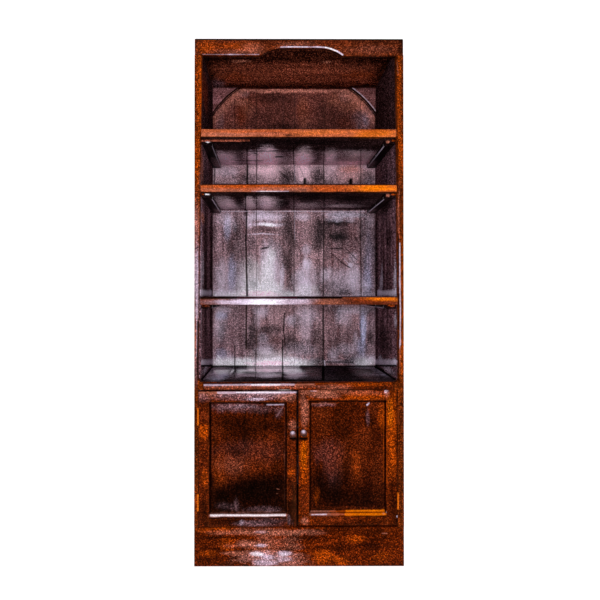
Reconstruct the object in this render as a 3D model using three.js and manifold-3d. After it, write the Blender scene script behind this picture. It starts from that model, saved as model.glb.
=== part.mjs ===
import * as THREE from 'three';
import { mergeVertices } from 'three/addons/utils/BufferGeometryUtils.js';
import Module from 'manifold-3d';

// Tall bookcase with three shelves over a cabinet with two frame-and-panel doors.
// Millimetres. X runs to the right, Y to the back and Z up.
// The origin is on the floor, under the middle of the whole object, knobs included.

const wasm = await Module();
wasm.setup();

// The case, outside
const caseWidth = 762;
const caseDepth = 340;

// Boards of the case
const sideThickness = 20;
const topThickness = 20;
const deckThickness = 20;
const floorThickness = 20;
const housingDepth = 6; // how far the top, deck and floor boards enter the sides
const jointGap = 0.3; // between boards that are glued or nailed face to face

// Heights from the floor up: each board and each clear space
const plinthHeight = 141;
const cabinetOpening = 499;
const deckRailHeight = 26;
const lowerBay = 283;
const middleBay = 383;
const upperBay = 173;
const topBay = 271;
const topRailHeight = 60;
const shelfThickness = 28;

// Face frame in front of the case
const frameThickness = 20;
const stileTopWidth = 26;
const cornerRadius = 20; // the rounded lower corners of the open bays
const edgeRound = 6; // round-over along the inner edges of the open bays
const noseRound = 9; // round-over along the top of the deck rail
const doorEdgeRound = 1.5; // eased edge beside the doors
const archSpan = 304;
const archRise = 29;
const archShoulder = 84;
const archOffset = 8; // how far the arch sits to the right of the middle

// What differs between the two hands of the case, which was fitted by hand
const hands = [
  { name: 'left', sign: -1, stileDeckWidth: 13, stileDoorWidth: 14, doorLift: 4 },
  { name: 'right', sign: 1, stileDeckWidth: 18, stileDoorWidth: 22.5, doorLift: 8 },
];

// Back: rebated boards let into the sides
const backThickness = 12;
const backRebate = 10;
const backLap = 7;
const backJointGap = 1;
const backFootGap = 12;
const backBoardShares = [0.213, 0.061, 0.226, 0.179, 0.222, 0.099];

// Corner pieces at the top of the back
const spandrelLeg = 112;
const spandrelBow = 8;
const spandrelThickness = 12;

// Battens that carry the shelves
const cleatWidth = 37;
const cleatThickness = 15;
const cleatSetback = 25;
const cleatEndGap = 1;
const shelfEndGap = 1;

// The shelf inside the cabinet
const cabinetShelfThickness = 18;
const cabinetShelfRise = 232;
const cabinetShelfSetback = 70;

// Doors
const doorThickness = 19;
const doorSideGap = 1.5;
const doorMeetingGap = 5.5;
const doorTopGap = 2;
const doorMemberWidth = 43;
const ovoloRadius = 7;
const ovoloQuirk = 1.3;
const grooveWidth = 6;
const grooveDepth = 8;
const grooveInset = 3.5; // from the back of the door to the groove
const panelFloat = 1;
const panelRise = 2.6;
const panelBevel = 9;
const panelMargin = 2;

// Knobs
const knobHeight = 340;
const knobEdgeInset = 16.5;
const knobRadius = 12.5;
const knobFootRadius = 7.5;
const knobNeckRadius = 5.5;
const knobFootLength = 3;
const knobNeckLength = 9;
const knobHeadLength = 16;
const knobSpigotRadius = 4.5;
const knobSpigotLength = 12;

// Butt hinges
const hingeLength = 60;
const hingeInset = 90; // from the end of the door to the middle of the hinge
const barrelRadius = 3.5;
const leafThickness = 1.4;
const leafReach = 17; // how far a leaf covers the edge that it is let into
const knuckleCount = 5;
const knuckleGap = 0.3;
const pinRadius = 1.5;
const pinClearance = 0.1;
const pinTipRadius = 2.6;
const pinTipLength = 2;

// Catches under the deck and their strike plates on the doors
const catchWidth = 46;
const catchDepth = 16;
const catchHeight = 26;
const catchInset = 44; // from the meeting edge of the door to the middle
const catchGap = 0.6;
const strikeWidth = 38;
const strikeHeight = 11;
const strikeThickness = 1.2;
const strikeInset = 4;

// How finely round forms are divided, and how far a cutter runs past what it cuts
const roundSteps = 5;
const archSteps = 12;
const barrelSides = 20;
const knobSides = 28;
const overrun = 5;

// Levels that follow from the heights
const openingTop = plinthHeight + cabinetOpening;
const deckTop = openingTop + deckRailHeight;
const deckBottom = deckTop - deckThickness;
const lowerShelfBottom = deckTop + lowerBay;
const middleShelfBottom = lowerShelfBottom + shelfThickness + middleBay;
const upperShelfBottom = middleShelfBottom + shelfThickness + upperBay;
const railBottom = upperShelfBottom + shelfThickness + topBay;
const caseHeight = railBottom + topRailHeight;
const topBoardBottom = caseHeight - topThickness;

// Planes that follow from the depths: the knobs reach in front of the case
const knobReach = knobFootLength + knobNeckLength + knobHeadLength;
const frontY = (knobReach - caseDepth) / 2;
const backY = frontY + caseDepth;
const caseFrontY = frontY + frameThickness + jointGap;
const backFaceY = backY - backThickness;
const boardBackY = backFaceY - jointGap;

// Doors and hinges, from the opening between the stiles
const openingWidth = caseWidth - hands[0].stileDoorWidth - hands[1].stileDoorWidth;
const doorWidth = (openingWidth - 2 * doorSideGap - doorMeetingGap) / 2;
const doorRoom = Math.max(...hands.map((hand) => hand.doorLift)) + doorTopGap;
const doorHeight = cabinetOpening - doorRoom;
const barrelProud = barrelRadius + jointGap;
const knuckleLength = hingeLength / knuckleCount;
const boreRadius = pinRadius + pinClearance;

const woods = {
  carcass: new THREE.MeshStandardMaterial({ color: 0x4a1c10, roughness: 0.42, metalness: 0 }),
  shelf: new THREE.MeshStandardMaterial({ color: 0x8a3a14, roughness: 0.36, metalness: 0 }),
  back: new THREE.MeshStandardMaterial({ color: 0x5b4843, roughness: 0.5, metalness: 0 }),
  door: new THREE.MeshStandardMaterial({ color: 0x642509, roughness: 0.38, metalness: 0 }),
  panel: new THREE.MeshStandardMaterial({ color: 0x3c1408, roughness: 0.38, metalness: 0 }),
  knob: new THREE.MeshStandardMaterial({ color: 0x2b0f0b, roughness: 0.2, metalness: 0 }),
};
const metals = {
  brass: new THREE.MeshStandardMaterial({ color: 0xb5762c, roughness: 0.35, metalness: 1 }),
  steel: new THREE.MeshStandardMaterial({ color: 0x9a9894, roughness: 0.4, metalness: 1 }),
};

const bookcase = new THREE.Group();

function addPiece(parent, name, geometry, material) {
  const piece = new THREE.Mesh(geometry, material);
  piece.name = name;
  parent.add(piece);
  return piece;
}

// A plain board between two corners of the group that holds it.
function addBoard(parent, name, low, high, material) {
  const size = high.clone().sub(low);
  const board = addPiece(parent, name, new THREE.BoxGeometry(size.x, size.y, size.z), material);
  board.position.addVectors(low, high).multiplyScalar(1 / 2);
  return board;
}

function boxBetween(low, high) {
  const size = high.clone().sub(low);
  const middle = high.clone().add(low).multiplyScalar(1 / 2);
  return new THREE.BoxGeometry(size.x, size.y, size.z).translate(middle.x, middle.y, middle.z);
}

function at(x, y, z) {
  return new THREE.Vector3(x, y, z);
}

function solidOf(geometry) {
  const bare = geometry.clone();
  bare.deleteAttribute('normal');
  bare.deleteAttribute('uv');
  const welded = mergeVertices(bare);
  return new wasm.Manifold(new wasm.Mesh({
    numProp: 3,
    vertProperties: Float32Array.from(welded.attributes.position.array),
    triVerts: Uint32Array.from(welded.index.array),
  }));
}

function geometryOf(solid) {
  const mesh = solid.getMesh();
  const geometry = new THREE.BufferGeometry();
  geometry.setAttribute('position', new THREE.BufferAttribute(mesh.vertProperties, 3));
  geometry.setIndex(new THREE.BufferAttribute(mesh.triVerts, 1));
  return geometry;
}

// The same form for the right hand: X reversed, and the triangles turned to face out again.
function handed(geometry, hand) {
  if (hand.sign < 0) {
    return geometry;
  }
  const bare = geometry.clone();
  bare.deleteAttribute('normal');
  bare.deleteAttribute('uv');
  const mirrored = mergeVertices(bare).scale(-1, 1, 1);
  mirrored.setIndex(Array.from(mirrored.index.array).reverse());
  return mirrored;
}

// A solid through rings that run the same way round, capped flat at both ends.
function loft(rings) {
  const count = rings[0].length;
  const triangles = [];
  for (let ring = 0; ring + 1 < rings.length; ring += 1) {
    for (let corner = 0; corner < count; corner += 1) {
      const here = ring * count + corner;
      const beside = ring * count + ((corner + 1) % count);
      triangles.push(here, beside, here + count, beside, beside + count, here + count);
    }
  }
  const last = (rings.length - 1) * count;
  for (let corner = 1; corner + 1 < count; corner += 1) {
    triangles.push(0, corner + 1, corner, last, last + corner, last + corner + 1);
  }
  const positions = rings.flat().flatMap((point) => point.toArray());
  const geometry = new THREE.BufferGeometry();
  geometry.setAttribute('position', new THREE.Float32BufferAttribute(positions, 3));
  geometry.setIndex(triangles);
  return geometry;
}

// A rectangle whose corner at the far end of a and the near end of b is rounded.
function roundedSection(nearA, farA, nearB, farB, radius) {
  const points = [[nearA, nearB]];
  for (let step = 0; step <= roundSteps; step += 1) {
    const angle = (step / roundSteps) * (Math.PI / 2);
    points.push([
      farA - radius + radius * Math.sin(angle),
      nearB + radius - radius * Math.cos(angle),
    ]);
  }
  points.push([farA, farB], [nearA, farB]);
  return points;
}

// Pulls a profile in X and Y up along Z.
function pulledUp(points, length) {
  const shape = new THREE.Shape(points.map(([x, y]) => new THREE.Vector2(x, y)));
  return new THREE.ExtrudeGeometry(shape, { depth: length, bevelEnabled: false });
}

// Pulls an outline seen from the front, in X and Z, towards the back from the plane where Y is nearY.
function pulledBack(shape, nearY, depth) {
  const turn = new THREE.Matrix4().makeBasis(at(1, 0, 0), at(0, 0, 1), at(0, -1, 0));
  const geometry = new THREE.ExtrudeGeometry(shape, {
    depth,
    bevelEnabled: false,
    curveSegments: archSteps,
  });
  return geometry.applyMatrix4(turn).translate(0, nearY + depth, 0);
}

// Everything that belongs to one side, measured from that side's outer face inwards.
function handGroup(hand) {
  const group = new THREE.Group();
  group.position.x = (hand.sign * caseWidth) / 2;
  bookcase.add(group);
  return group;
}

// Side panels, with housings for the boards and a rebate for the back
function sidePanel() {
  const panel = solidOf(boxBetween(at(0, caseFrontY, 0), at(sideThickness, backY, caseHeight)));
  const housings = [
    [caseHeight - topThickness - jointGap, caseHeight + overrun],
    [deckBottom - jointGap, deckTop + jointGap],
    [plinthHeight - floorThickness - jointGap, plinthHeight + jointGap],
  ];
  const floorOfHousing = sideThickness - housingDepth;
  const rebate = boxBetween(
    at(sideThickness - backRebate, backFaceY, -overrun),
    at(sideThickness + overrun, backY + overrun, caseHeight + overrun),
  );
  return housings.reduce((left, [low, high]) => left.subtract(solidOf(boxBetween(
    at(floorOfHousing, caseFrontY - overrun, low),
    at(sideThickness + overrun, backFaceY, high),
  ))), panel.subtract(solidOf(rebate)));
}

// The boards that run across the case between the two sides
function addCrossBoards() {
  const reach = caseWidth / 2 - sideThickness + housingDepth - jointGap;
  const boards = [
    ['top_board', topBoardBottom, caseHeight],
    ['deck_board', deckBottom, deckTop],
    ['cabinet_floor', plinthHeight - floorThickness, plinthHeight],
  ];
  for (const [name, low, high] of boards) {
    addBoard(bookcase, name, at(-reach, caseFrontY, low), at(reach, boardBackY, high), woods.carcass);
  }
}

// The stiles narrow from the top of the open bays down to the deck.
function stileWidthAt(hand, level) {
  const share = (level - deckTop) / (railBottom - deckTop);
  return THREE.MathUtils.lerp(hand.stileDeckWidth, stileTopWidth, share);
}

function stileRing(width, level, radius) {
  const section = roundedSection(0, width, frontY, frontY + frameThickness, radius);
  return section.map(([x, y]) => at(x, y, level));
}

function hingeLevels(hand) {
  const bottom = plinthHeight + hand.doorLift;
  return [bottom + hingeInset, bottom + doorHeight - hingeInset];
}

function faceStile(hand) {
  const lowRings = [plinthHeight + jointGap, openingTop].map(
    (level) => stileRing(hand.stileDoorWidth, level, doorEdgeRound),
  );
  const blockWidth = stileWidthAt(hand, deckTop) + cornerRadius;
  const highRings = [stileRing(blockWidth, openingTop, edgeRound)];
  for (let step = 0; step <= roundSteps; step += 1) {
    const angle = (step / roundSteps) * (Math.PI / 2);
    const level = deckTop + cornerRadius * (1 - Math.cos(angle));
    const corner = cornerRadius * (1 - Math.sin(angle));
    highRings.push(stileRing(stileWidthAt(hand, level) + corner, level, edgeRound));
  }
  highRings.push(stileRing(stileTopWidth, railBottom - jointGap, edgeRound));
  const stile = solidOf(loft(lowRings)).add(solidOf(loft(highRings)));
  return hingeLevels(hand).reduce((left, level) => left.subtract(solidOf(boxBetween(
    at(hand.stileDoorWidth - leafThickness - jointGap, frontY - overrun, level - hingeLength / 2 - jointGap),
    at(hand.stileDoorWidth + overrun, frontY + leafReach + jointGap, level + hingeLength / 2 + jointGap),
  ))), stile);
}

// The top rail crosses both stiles; its lower edge rises into a shallow arch with round shoulders.
function archLevel(x) {
  const inward = archSpan / 2 - Math.abs(x - archOffset);
  const share = THREE.MathUtils.clamp(inward / archShoulder, 0, 1);
  return railBottom + archRise * (1 - (1 - share) ** 2);
}

function topRail() {
  const places = [-caseWidth / 2, archOffset - archSpan / 2];
  for (let step = 1; step <= archSteps; step += 1) {
    places.push(archOffset - archSpan / 2 + (archShoulder * step) / archSteps);
  }
  const mirrored = places.slice(1).reverse().map((x) => 2 * archOffset - x);
  const rings = [...places, ...mirrored, caseWidth / 2].map((x) => roundedSection(
    -caseHeight, -archLevel(x), frontY, frontY + frameThickness, edgeRound,
  ).map(([down, y]) => at(x, y, -down)));
  return loft(rings);
}

// The deck rail lies between the stiles, with a rounded nose along its top.
function deckRail() {
  const ends = [hands[1], hands[0]].map((hand) => {
    const blockWidth = stileWidthAt(hand, deckTop) + cornerRadius;
    return hand.sign * (caseWidth / 2 - blockWidth - jointGap);
  });
  return loft(ends.map((x) => roundedSection(
    openingTop, deckTop, frontY, frontY + frameThickness, noseRound,
  ).map(([level, y]) => at(x, y, level))));
}

function addPlinth() {
  addBoard(
    bookcase,
    'plinth_board',
    at(-caseWidth / 2, frontY, 0),
    at(caseWidth / 2, frontY + frameThickness, plinthHeight),
    woods.carcass,
  );
}

// A shelf ends between the sides and between the stiles at its own level, flush with the face.
function addShelf(name, bottom) {
  const [left, right] = hands.map((hand) => {
    const widths = [bottom, bottom + shelfThickness].map((level) => stileWidthAt(hand, level));
    return hand.sign * (caseWidth / 2 - Math.max(sideThickness, ...widths) - shelfEndGap);
  });
  addBoard(
    bookcase,
    name,
    at(left, frontY, bottom),
    at(right, boardBackY, bottom + shelfThickness),
    woods.shelf,
  );
}

function addCabinetShelf() {
  const reach = caseWidth / 2 - sideThickness - shelfEndGap;
  const bottom = plinthHeight + cabinetShelfRise;
  addBoard(
    bookcase,
    'cabinet_shelf',
    at(-reach, frontY + cabinetShelfSetback, bottom),
    at(reach, boardBackY, bottom + cabinetShelfThickness),
    woods.carcass,
  );
}

// A batten under each end of a shelf
function addCleats(label, shelfBottom, setback) {
  for (const hand of hands) {
    const inner = hand.sign * (caseWidth / 2 - sideThickness - jointGap);
    const outer = inner - hand.sign * cleatWidth;
    const top = shelfBottom - jointGap;
    addBoard(
      bookcase,
      `cleat_${label}_${hand.name}`,
      at(Math.min(inner, outer), frontY + setback, top - cleatThickness),
      at(Math.max(inner, outer), boardBackY - cleatEndGap, top),
      woods.carcass,
    );
  }
}

// Back boards lie in the rebates of the sides and lap over each other.
function backBoard(left, right, isFirst, isLast) {
  const middleY = backFaceY + backThickness / 2;
  const tongue = isFirst ? left : left - backLap;
  const rebate = isLast ? right : right - backLap;
  const profile = [[left, backFaceY], [right, backFaceY]];
  if (!isLast) {
    profile.push([right, middleY], [rebate, middleY]);
  }
  profile.push([rebate, backY], [tongue, backY]);
  if (!isFirst) {
    profile.push([tongue, middleY + jointGap], [left, middleY + jointGap]);
  }
  return pulledUp(profile, caseHeight - backFootGap).translate(0, 0, backFootGap);
}

function addBackBoards() {
  const reach = caseWidth / 2 - sideThickness + backRebate - jointGap;
  let edge = -reach;
  backBoardShares.forEach((share, index) => {
    const isFirst = index === 0;
    const isLast = index === backBoardShares.length - 1;
    const next = isLast ? reach : edge + share * 2 * reach;
    const left = isFirst ? edge : edge + backJointGap;
    addPiece(bookcase, `back_board_${index + 1}`, backBoard(left, next, isFirst, isLast), woods.back);
    edge = next;
  });
}

// Curved corner pieces stand against the back under the top board.
function spandrel() {
  const corner = sideThickness + jointGap;
  const top = topBoardBottom - jointGap;
  const pull = spandrelLeg / 2 - spandrelBow * Math.SQRT2;
  const shape = new THREE.Shape();
  shape.moveTo(corner, top);
  shape.lineTo(corner, top - spandrelLeg);
  shape.quadraticCurveTo(corner + pull, top - pull, corner + spandrelLeg, top);
  shape.closePath();
  return pulledBack(shape, backFaceY - jointGap - spandrelThickness, spandrelThickness);
}

// Door frame members: a profile in X and Y with its moulded and grooved edge towards +X.
// Y is 0 at the front of the door.
function memberProfile() {
  const grooveBack = doorThickness - grooveInset;
  const points = [[0, 0], [doorMemberWidth - ovoloRadius, 0]];
  for (let step = 0; step <= roundSteps; step += 1) {
    const angle = (step / roundSteps) * (Math.PI / 2);
    points.push([
      doorMemberWidth - ovoloRadius + ovoloRadius * Math.sin(angle),
      ovoloQuirk + ovoloRadius * (1 - Math.cos(angle)),
    ]);
  }
  points.push([doorMemberWidth, grooveBack - grooveWidth]);
  points.push([doorMemberWidth - grooveDepth, grooveBack - grooveWidth]);
  points.push([doorMemberWidth - grooveDepth, grooveBack]);
  points.push([doorMemberWidth, grooveBack]);
  points.push([doorMemberWidth, doorThickness], [0, doorThickness]);
  return points;
}

function hingeStile() {
  const stile = solidOf(pulledUp(memberProfile(), doorHeight));
  return [hingeInset, doorHeight - hingeInset].reduce((left, level) => left.subtract(solidOf(boxBetween(
    at(-overrun, -overrun, level - hingeLength / 2 - jointGap),
    at(leafThickness + jointGap, leafReach + jointGap, level + hingeLength / 2 + jointGap),
  ))), stile);
}

// The same member turned end for end, with a hole for the knob's spigot
function meetingStile() {
  const turned = pulledUp(memberProfile(), doorHeight)
    .rotateY(Math.PI)
    .translate(doorWidth, 0, doorHeight);
  const drill = new THREE.CylinderGeometry(
    knobSpigotRadius + jointGap,
    knobSpigotRadius + jointGap,
    knobSpigotLength + jointGap + overrun,
    barrelSides,
  ).translate(doorWidth - knobEdgeInset, (knobSpigotLength + jointGap - overrun) / 2, knobHeight);
  return solidOf(turned).subtract(solidOf(drill));
}

// What a piece leaves for another that is fitted round it: the piece and its moves by one gap.
function withClearance(solid, towards) {
  return [-1, 1].reduce(
    (grown, side) => grown.add(solid.translate([towards * jointGap, side * jointGap, 0])),
    solid,
  );
}

// A rail is scribed over the stiles' moulding and enters their grooves.
function doorRail(stiles) {
  const length = doorWidth - 2 * (doorMemberWidth - grooveDepth + jointGap);
  const rail = solidOf(pulledUp(memberProfile(), length)
    .applyMatrix4(new THREE.Matrix4().makeBasis(at(0, 0, 1), at(0, 1, 0), at(-1, 0, 0)))
    .translate((doorWidth + length) / 2, 0, 0));
  return rail
    .subtract(withClearance(stiles.hinge, 1))
    .subtract(withClearance(stiles.meeting, -1));
}

// The panel floats in the grooves; its face rises by a bevel to a flat field.
function doorPanel() {
  const grooveBack = doorThickness - grooveInset;
  const tongueBack = grooveBack - jointGap;
  const tongueFront = grooveBack - grooveWidth + jointGap;
  const outer = doorMemberWidth - grooveDepth + panelFloat;
  const bevelStart = doorMemberWidth + panelMargin;
  const steps = [
    [outer, tongueBack],
    [outer, tongueFront],
    [bevelStart, tongueFront],
    [bevelStart + panelBevel, tongueFront - panelRise],
  ];
  return loft(steps.map(([inset, y]) => [
    at(inset, y, inset),
    at(doorWidth - inset, y, inset),
    at(doorWidth - inset, y, doorHeight - inset),
    at(inset, y, doorHeight - inset),
  ]));
}

// Turned knob with a foot, a neck and a round head, and a spigot that enters the stile
function knobGeometry() {
  const headRise = Math.sqrt(knobRadius ** 2 - knobNeckRadius ** 2);
  const neckTop = knobFootLength + knobNeckLength;
  const underside = neckTop + knobHeadLength / 2;
  const profile = [
    [0, -knobSpigotLength],
    [knobSpigotRadius, -knobSpigotLength],
    [knobSpigotRadius, jointGap],
    [knobFootRadius, jointGap],
    [knobFootRadius, knobFootLength / 2],
    [knobNeckRadius, knobFootLength],
    [knobNeckRadius, neckTop - knobFootLength],
  ];
  const lowAngle = -Math.asin(headRise / knobRadius);
  for (let step = 0; step < archSteps; step += 1) {
    const angle = THREE.MathUtils.lerp(lowAngle, Math.PI / 2, step / archSteps);
    profile.push([
      knobRadius * Math.cos(angle),
      underside + (knobHeadLength / 2) * Math.sin(angle),
    ]);
  }
  profile.push([0, neckTop + knobHeadLength]);
  return new THREE.LatheGeometry(profile.map(([r, h]) => new THREE.Vector2(r, h)), knobSides);
}

// One leaf of a butt hinge about its pin: the plate lies on the given side, and the knuckles
// with the given parity belong to it.
function hingeLeaf(side, parity) {
  const near = side * (doorSideGap / 2);
  const far = near + side * leafThickness;
  const plate = solidOf(boxBetween(
    at(Math.min(near, far), 0, -hingeLength / 2),
    at(Math.max(near, far), barrelProud + leafReach, hingeLength / 2),
  ));
  let leaf = plate.add(solidOf(barrelPiece(barrelRadius, hingeLength, 0)));
  for (let knuckle = 0; knuckle < knuckleCount; knuckle += 1) {
    if (knuckle % 2 !== parity) {
      const middle = (knuckle + 1 / 2) * knuckleLength - hingeLength / 2;
      const isEnd = knuckle === 0 || knuckle === knuckleCount - 1;
      const length = knuckleLength + 2 * (isEnd ? overrun : knuckleGap);
      const outward = isEnd ? Math.sign(middle) * (overrun - knuckleGap) : 0;
      leaf = leaf.subtract(solidOf(barrelPiece(barrelRadius + jointGap, length, middle + outward)));
    }
  }
  return leaf.subtract(solidOf(barrelPiece(boreRadius, hingeLength + overrun, 0)));
}

function barrelPiece(radius, length, middle) {
  return new THREE.CylinderGeometry(radius, radius, length, barrelSides)
    .rotateX(Math.PI / 2)
    .translate(0, 0, middle);
}

function hingePin() {
  const end = hingeLength / 2 + knuckleGap;
  const profile = [
    [0, -end - pinTipLength],
    [pinTipRadius, -end - pinTipLength / 2],
    [pinTipRadius, -end],
    [pinRadius, -end],
    [pinRadius, end],
    [pinTipRadius, end],
    [pinTipRadius, end + pinTipLength / 2],
    [0, end + pinTipLength],
  ];
  return new THREE.LatheGeometry(profile.map(([r, h]) => new THREE.Vector2(r, h)), barrelSides)
    .rotateX(Math.PI / 2);
}

function addHinges(group, hand) {
  const labels = ['lower', 'upper'];
  hingeLevels(hand).forEach((level, index) => {
    const hinge = new THREE.Group();
    hinge.position.set(
      -hand.sign * (hand.stileDoorWidth + doorSideGap / 2),
      frontY - barrelProud,
      level,
    );
    group.add(hinge);
    const label = `${hand.name}_${labels[index]}`;
    addPiece(hinge, `hinge_frame_leaf_${label}`, geometryOf(hingeLeaf(hand.sign, 0)), metals.brass);
    addPiece(hinge, `hinge_door_leaf_${label}`, geometryOf(hingeLeaf(-hand.sign, 1)), metals.brass);
    addPiece(hinge, `hinge_pin_${label}`, hingePin(), metals.brass);
  });
}

function addCatch(group, hand) {
  const middle = hand.stileDoorWidth + doorSideGap + doorWidth - catchInset;
  const front = frontY + doorThickness + jointGap + strikeThickness + catchGap;
  const top = deckBottom - jointGap;
  const low = at(middle - catchWidth / 2, front, top - catchHeight);
  const high = at(middle + catchWidth / 2, front + catchDepth, top);
  addPiece(group, `catch_${hand.name}`, handed(boxBetween(low, high), hand), metals.steel);
}

function addStrike(door, hand) {
  const middle = doorWidth - catchInset;
  const front = doorThickness + jointGap;
  const top = doorHeight - strikeInset;
  const low = at(middle - strikeWidth / 2, front, top - strikeHeight);
  const high = at(middle + strikeWidth / 2, front + strikeThickness, top);
  addPiece(door, `strike_plate_${hand.name}`, handed(boxBetween(low, high), hand), metals.steel);
}

function addDoor(group, hand) {
  const door = new THREE.Group();
  const edge = hand.stileDoorWidth + doorSideGap;
  door.position.set(-hand.sign * edge, frontY, plinthHeight + hand.doorLift);
  group.add(door);
  const stiles = { hinge: hingeStile(), meeting: meetingStile() };
  const bottomRail = geometryOf(doorRail(stiles));
  const upperRail = bottomRail.clone().rotateY(Math.PI).translate(doorWidth, 0, doorHeight);
  const pieces = [
    ['hinge_stile', geometryOf(stiles.hinge), woods.door],
    ['meeting_stile', geometryOf(stiles.meeting), woods.door],
    ['bottom_rail', bottomRail, woods.door],
    ['top_rail', upperRail, woods.door],
    ['panel', doorPanel(), woods.panel],
  ];
  for (const [name, geometry, material] of pieces) {
    addPiece(door, `door_${hand.name}_${name}`, handed(geometry, hand), material);
  }
  const knob = addPiece(door, `knob_${hand.name}`, knobGeometry(), woods.knob);
  knob.position.set(-hand.sign * (doorWidth - knobEdgeInset), 0, knobHeight);
  knob.rotation.x = Math.PI;
  addStrike(door, hand);
}

addCrossBoards();
addPlinth();
addPiece(bookcase, 'top_rail', topRail(), woods.carcass);
addPiece(bookcase, 'deck_rail', deckRail(), woods.carcass);
addShelf('shelf_lower', lowerShelfBottom);
addShelf('shelf_middle', middleShelfBottom);
addShelf('shelf_upper', upperShelfBottom);
addCabinetShelf();
addCleats('lower', lowerShelfBottom, cleatSetback);
addCleats('middle', middleShelfBottom, cleatSetback);
addCleats('upper', upperShelfBottom, cleatSetback);
addCleats('cabinet', plinthHeight + cabinetShelfRise, cabinetShelfSetback);
addBackBoards();
for (const hand of hands) {
  const group = handGroup(hand);
  addPiece(group, `side_panel_${hand.name}`, handed(geometryOf(sidePanel()), hand), woods.carcass);
  addPiece(group, `face_stile_${hand.name}`, handed(geometryOf(faceStile(hand)), hand), woods.carcass);
  addPiece(group, `spandrel_${hand.name}`, handed(spandrel(), hand), woods.back);
  addHinges(group, hand);
  addCatch(group, hand);
  addDoor(group, hand);
}

export default bookcase;
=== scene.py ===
import math
import random

import bmesh
import bpy
from mathutils import Matrix, Vector


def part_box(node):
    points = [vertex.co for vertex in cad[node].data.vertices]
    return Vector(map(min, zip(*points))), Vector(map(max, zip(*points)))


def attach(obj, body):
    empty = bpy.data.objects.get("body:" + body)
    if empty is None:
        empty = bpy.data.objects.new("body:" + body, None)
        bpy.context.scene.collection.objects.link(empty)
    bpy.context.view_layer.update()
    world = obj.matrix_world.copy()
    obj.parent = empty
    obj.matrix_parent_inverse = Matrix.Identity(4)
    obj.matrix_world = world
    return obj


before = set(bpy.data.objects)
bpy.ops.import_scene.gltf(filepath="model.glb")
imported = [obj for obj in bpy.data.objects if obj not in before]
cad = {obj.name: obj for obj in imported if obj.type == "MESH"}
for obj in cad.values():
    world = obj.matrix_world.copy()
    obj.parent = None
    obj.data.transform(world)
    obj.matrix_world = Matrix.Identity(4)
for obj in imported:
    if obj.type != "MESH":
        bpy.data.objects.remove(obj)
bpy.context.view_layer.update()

scene = bpy.context.scene
print("bookcase: frame loaded,", len(cad), "solids")


# put() adds a node; a value in inputs may be a number, a colour or another node's socket
def put(tree, kind, inputs=None, **settings):
    node = tree.nodes.new(kind)
    for key, value in settings.items():
        setattr(node, key, value)
    for socket, value in (inputs or {}).items():
        if isinstance(value, bpy.types.NodeSocket):
            tree.links.new(value, node.inputs[socket])
        else:
            node.inputs[socket].default_value = value
    return node


def sums(tree, operation, a, b=None, clamp=False):
    inputs = {0: a} if b is None else {0: a, 1: b}
    return put(tree, "ShaderNodeMath", inputs, operation=operation, use_clamp=clamp).outputs[0]


def vectorSums(tree, operation, a, b):
    return put(tree, "ShaderNodeVectorMath", {0: a, 1: b}, operation=operation).outputs[0]


def scaled(tree, vector, amount):
    return put(tree, "ShaderNodeVectorMath", {0: vector, "Scale": amount}, operation="SCALE").outputs[0]


def dot(tree, a, b):
    return put(tree, "ShaderNodeVectorMath", {0: a, 1: b}, operation="DOT_PRODUCT").outputs["Value"]


def size(tree, vector):
    return put(tree, "ShaderNodeVectorMath", {0: vector}, operation="LENGTH").outputs["Value"]


def stretched(tree, value, low, high, toLow=0.0, toHigh=1.0, smooth=False):
    kind = "SMOOTHSTEP" if smooth else "LINEAR"
    inputs = {"Value": value, "From Min": low, "From Max": high, "To Min": toLow, "To Max": toHigh}
    return put(tree, "ShaderNodeMapRange", inputs, interpolation_type=kind).outputs["Result"]


def mixed(tree, amount, below, above):
    inputs = {0: amount, 6: below, 7: above}
    return put(tree, "ShaderNodeMix", inputs, data_type="RGBA").outputs[2]


def noise(tree, place, scale, detail=2.0, roughness=0.5, distortion=0.0, output="Fac"):
    inputs = {"Vector": place, "Scale": scale, "Detail": detail, "Roughness": roughness,
              "Distortion": distortion}
    return put(tree, "ShaderNodeTexNoise", inputs).outputs[output]


def startGroup(name, inputs, outputs):
    tree = bpy.data.node_groups.new(name, "ShaderNodeTree")
    for label, kind, value in inputs:
        socket = tree.interface.new_socket(name=label, in_out="INPUT", socket_type="NodeSocket" + kind)
        socket.default_value = value
    for label in outputs:
        tree.interface.new_socket(name=label, in_out="OUTPUT", socket_type="NodeSocketFloat")
    return tree, put(tree, "NodeGroupInput").outputs, put(tree, "NodeGroupOutput").inputs


def place(tree, group, inputs):
    return put(tree, "ShaderNodeGroup", inputs, node_tree=group).outputs


def tone(red, green, blue):
    def linear(v):
        v = v / 255
        return v / 12.92 if v <= 0.04045 else ((v + 0.055) / 1.055) ** 2.4
    return linear(red), linear(green), linear(blue), 1.0


# effects that several finishes share; a scale is the number of features in a metre
grainScales = {"fibres": 48.0, "fine": 360.0, "mottle": 13.0, "speckle": 360.0, "wear": 42.0}


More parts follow.
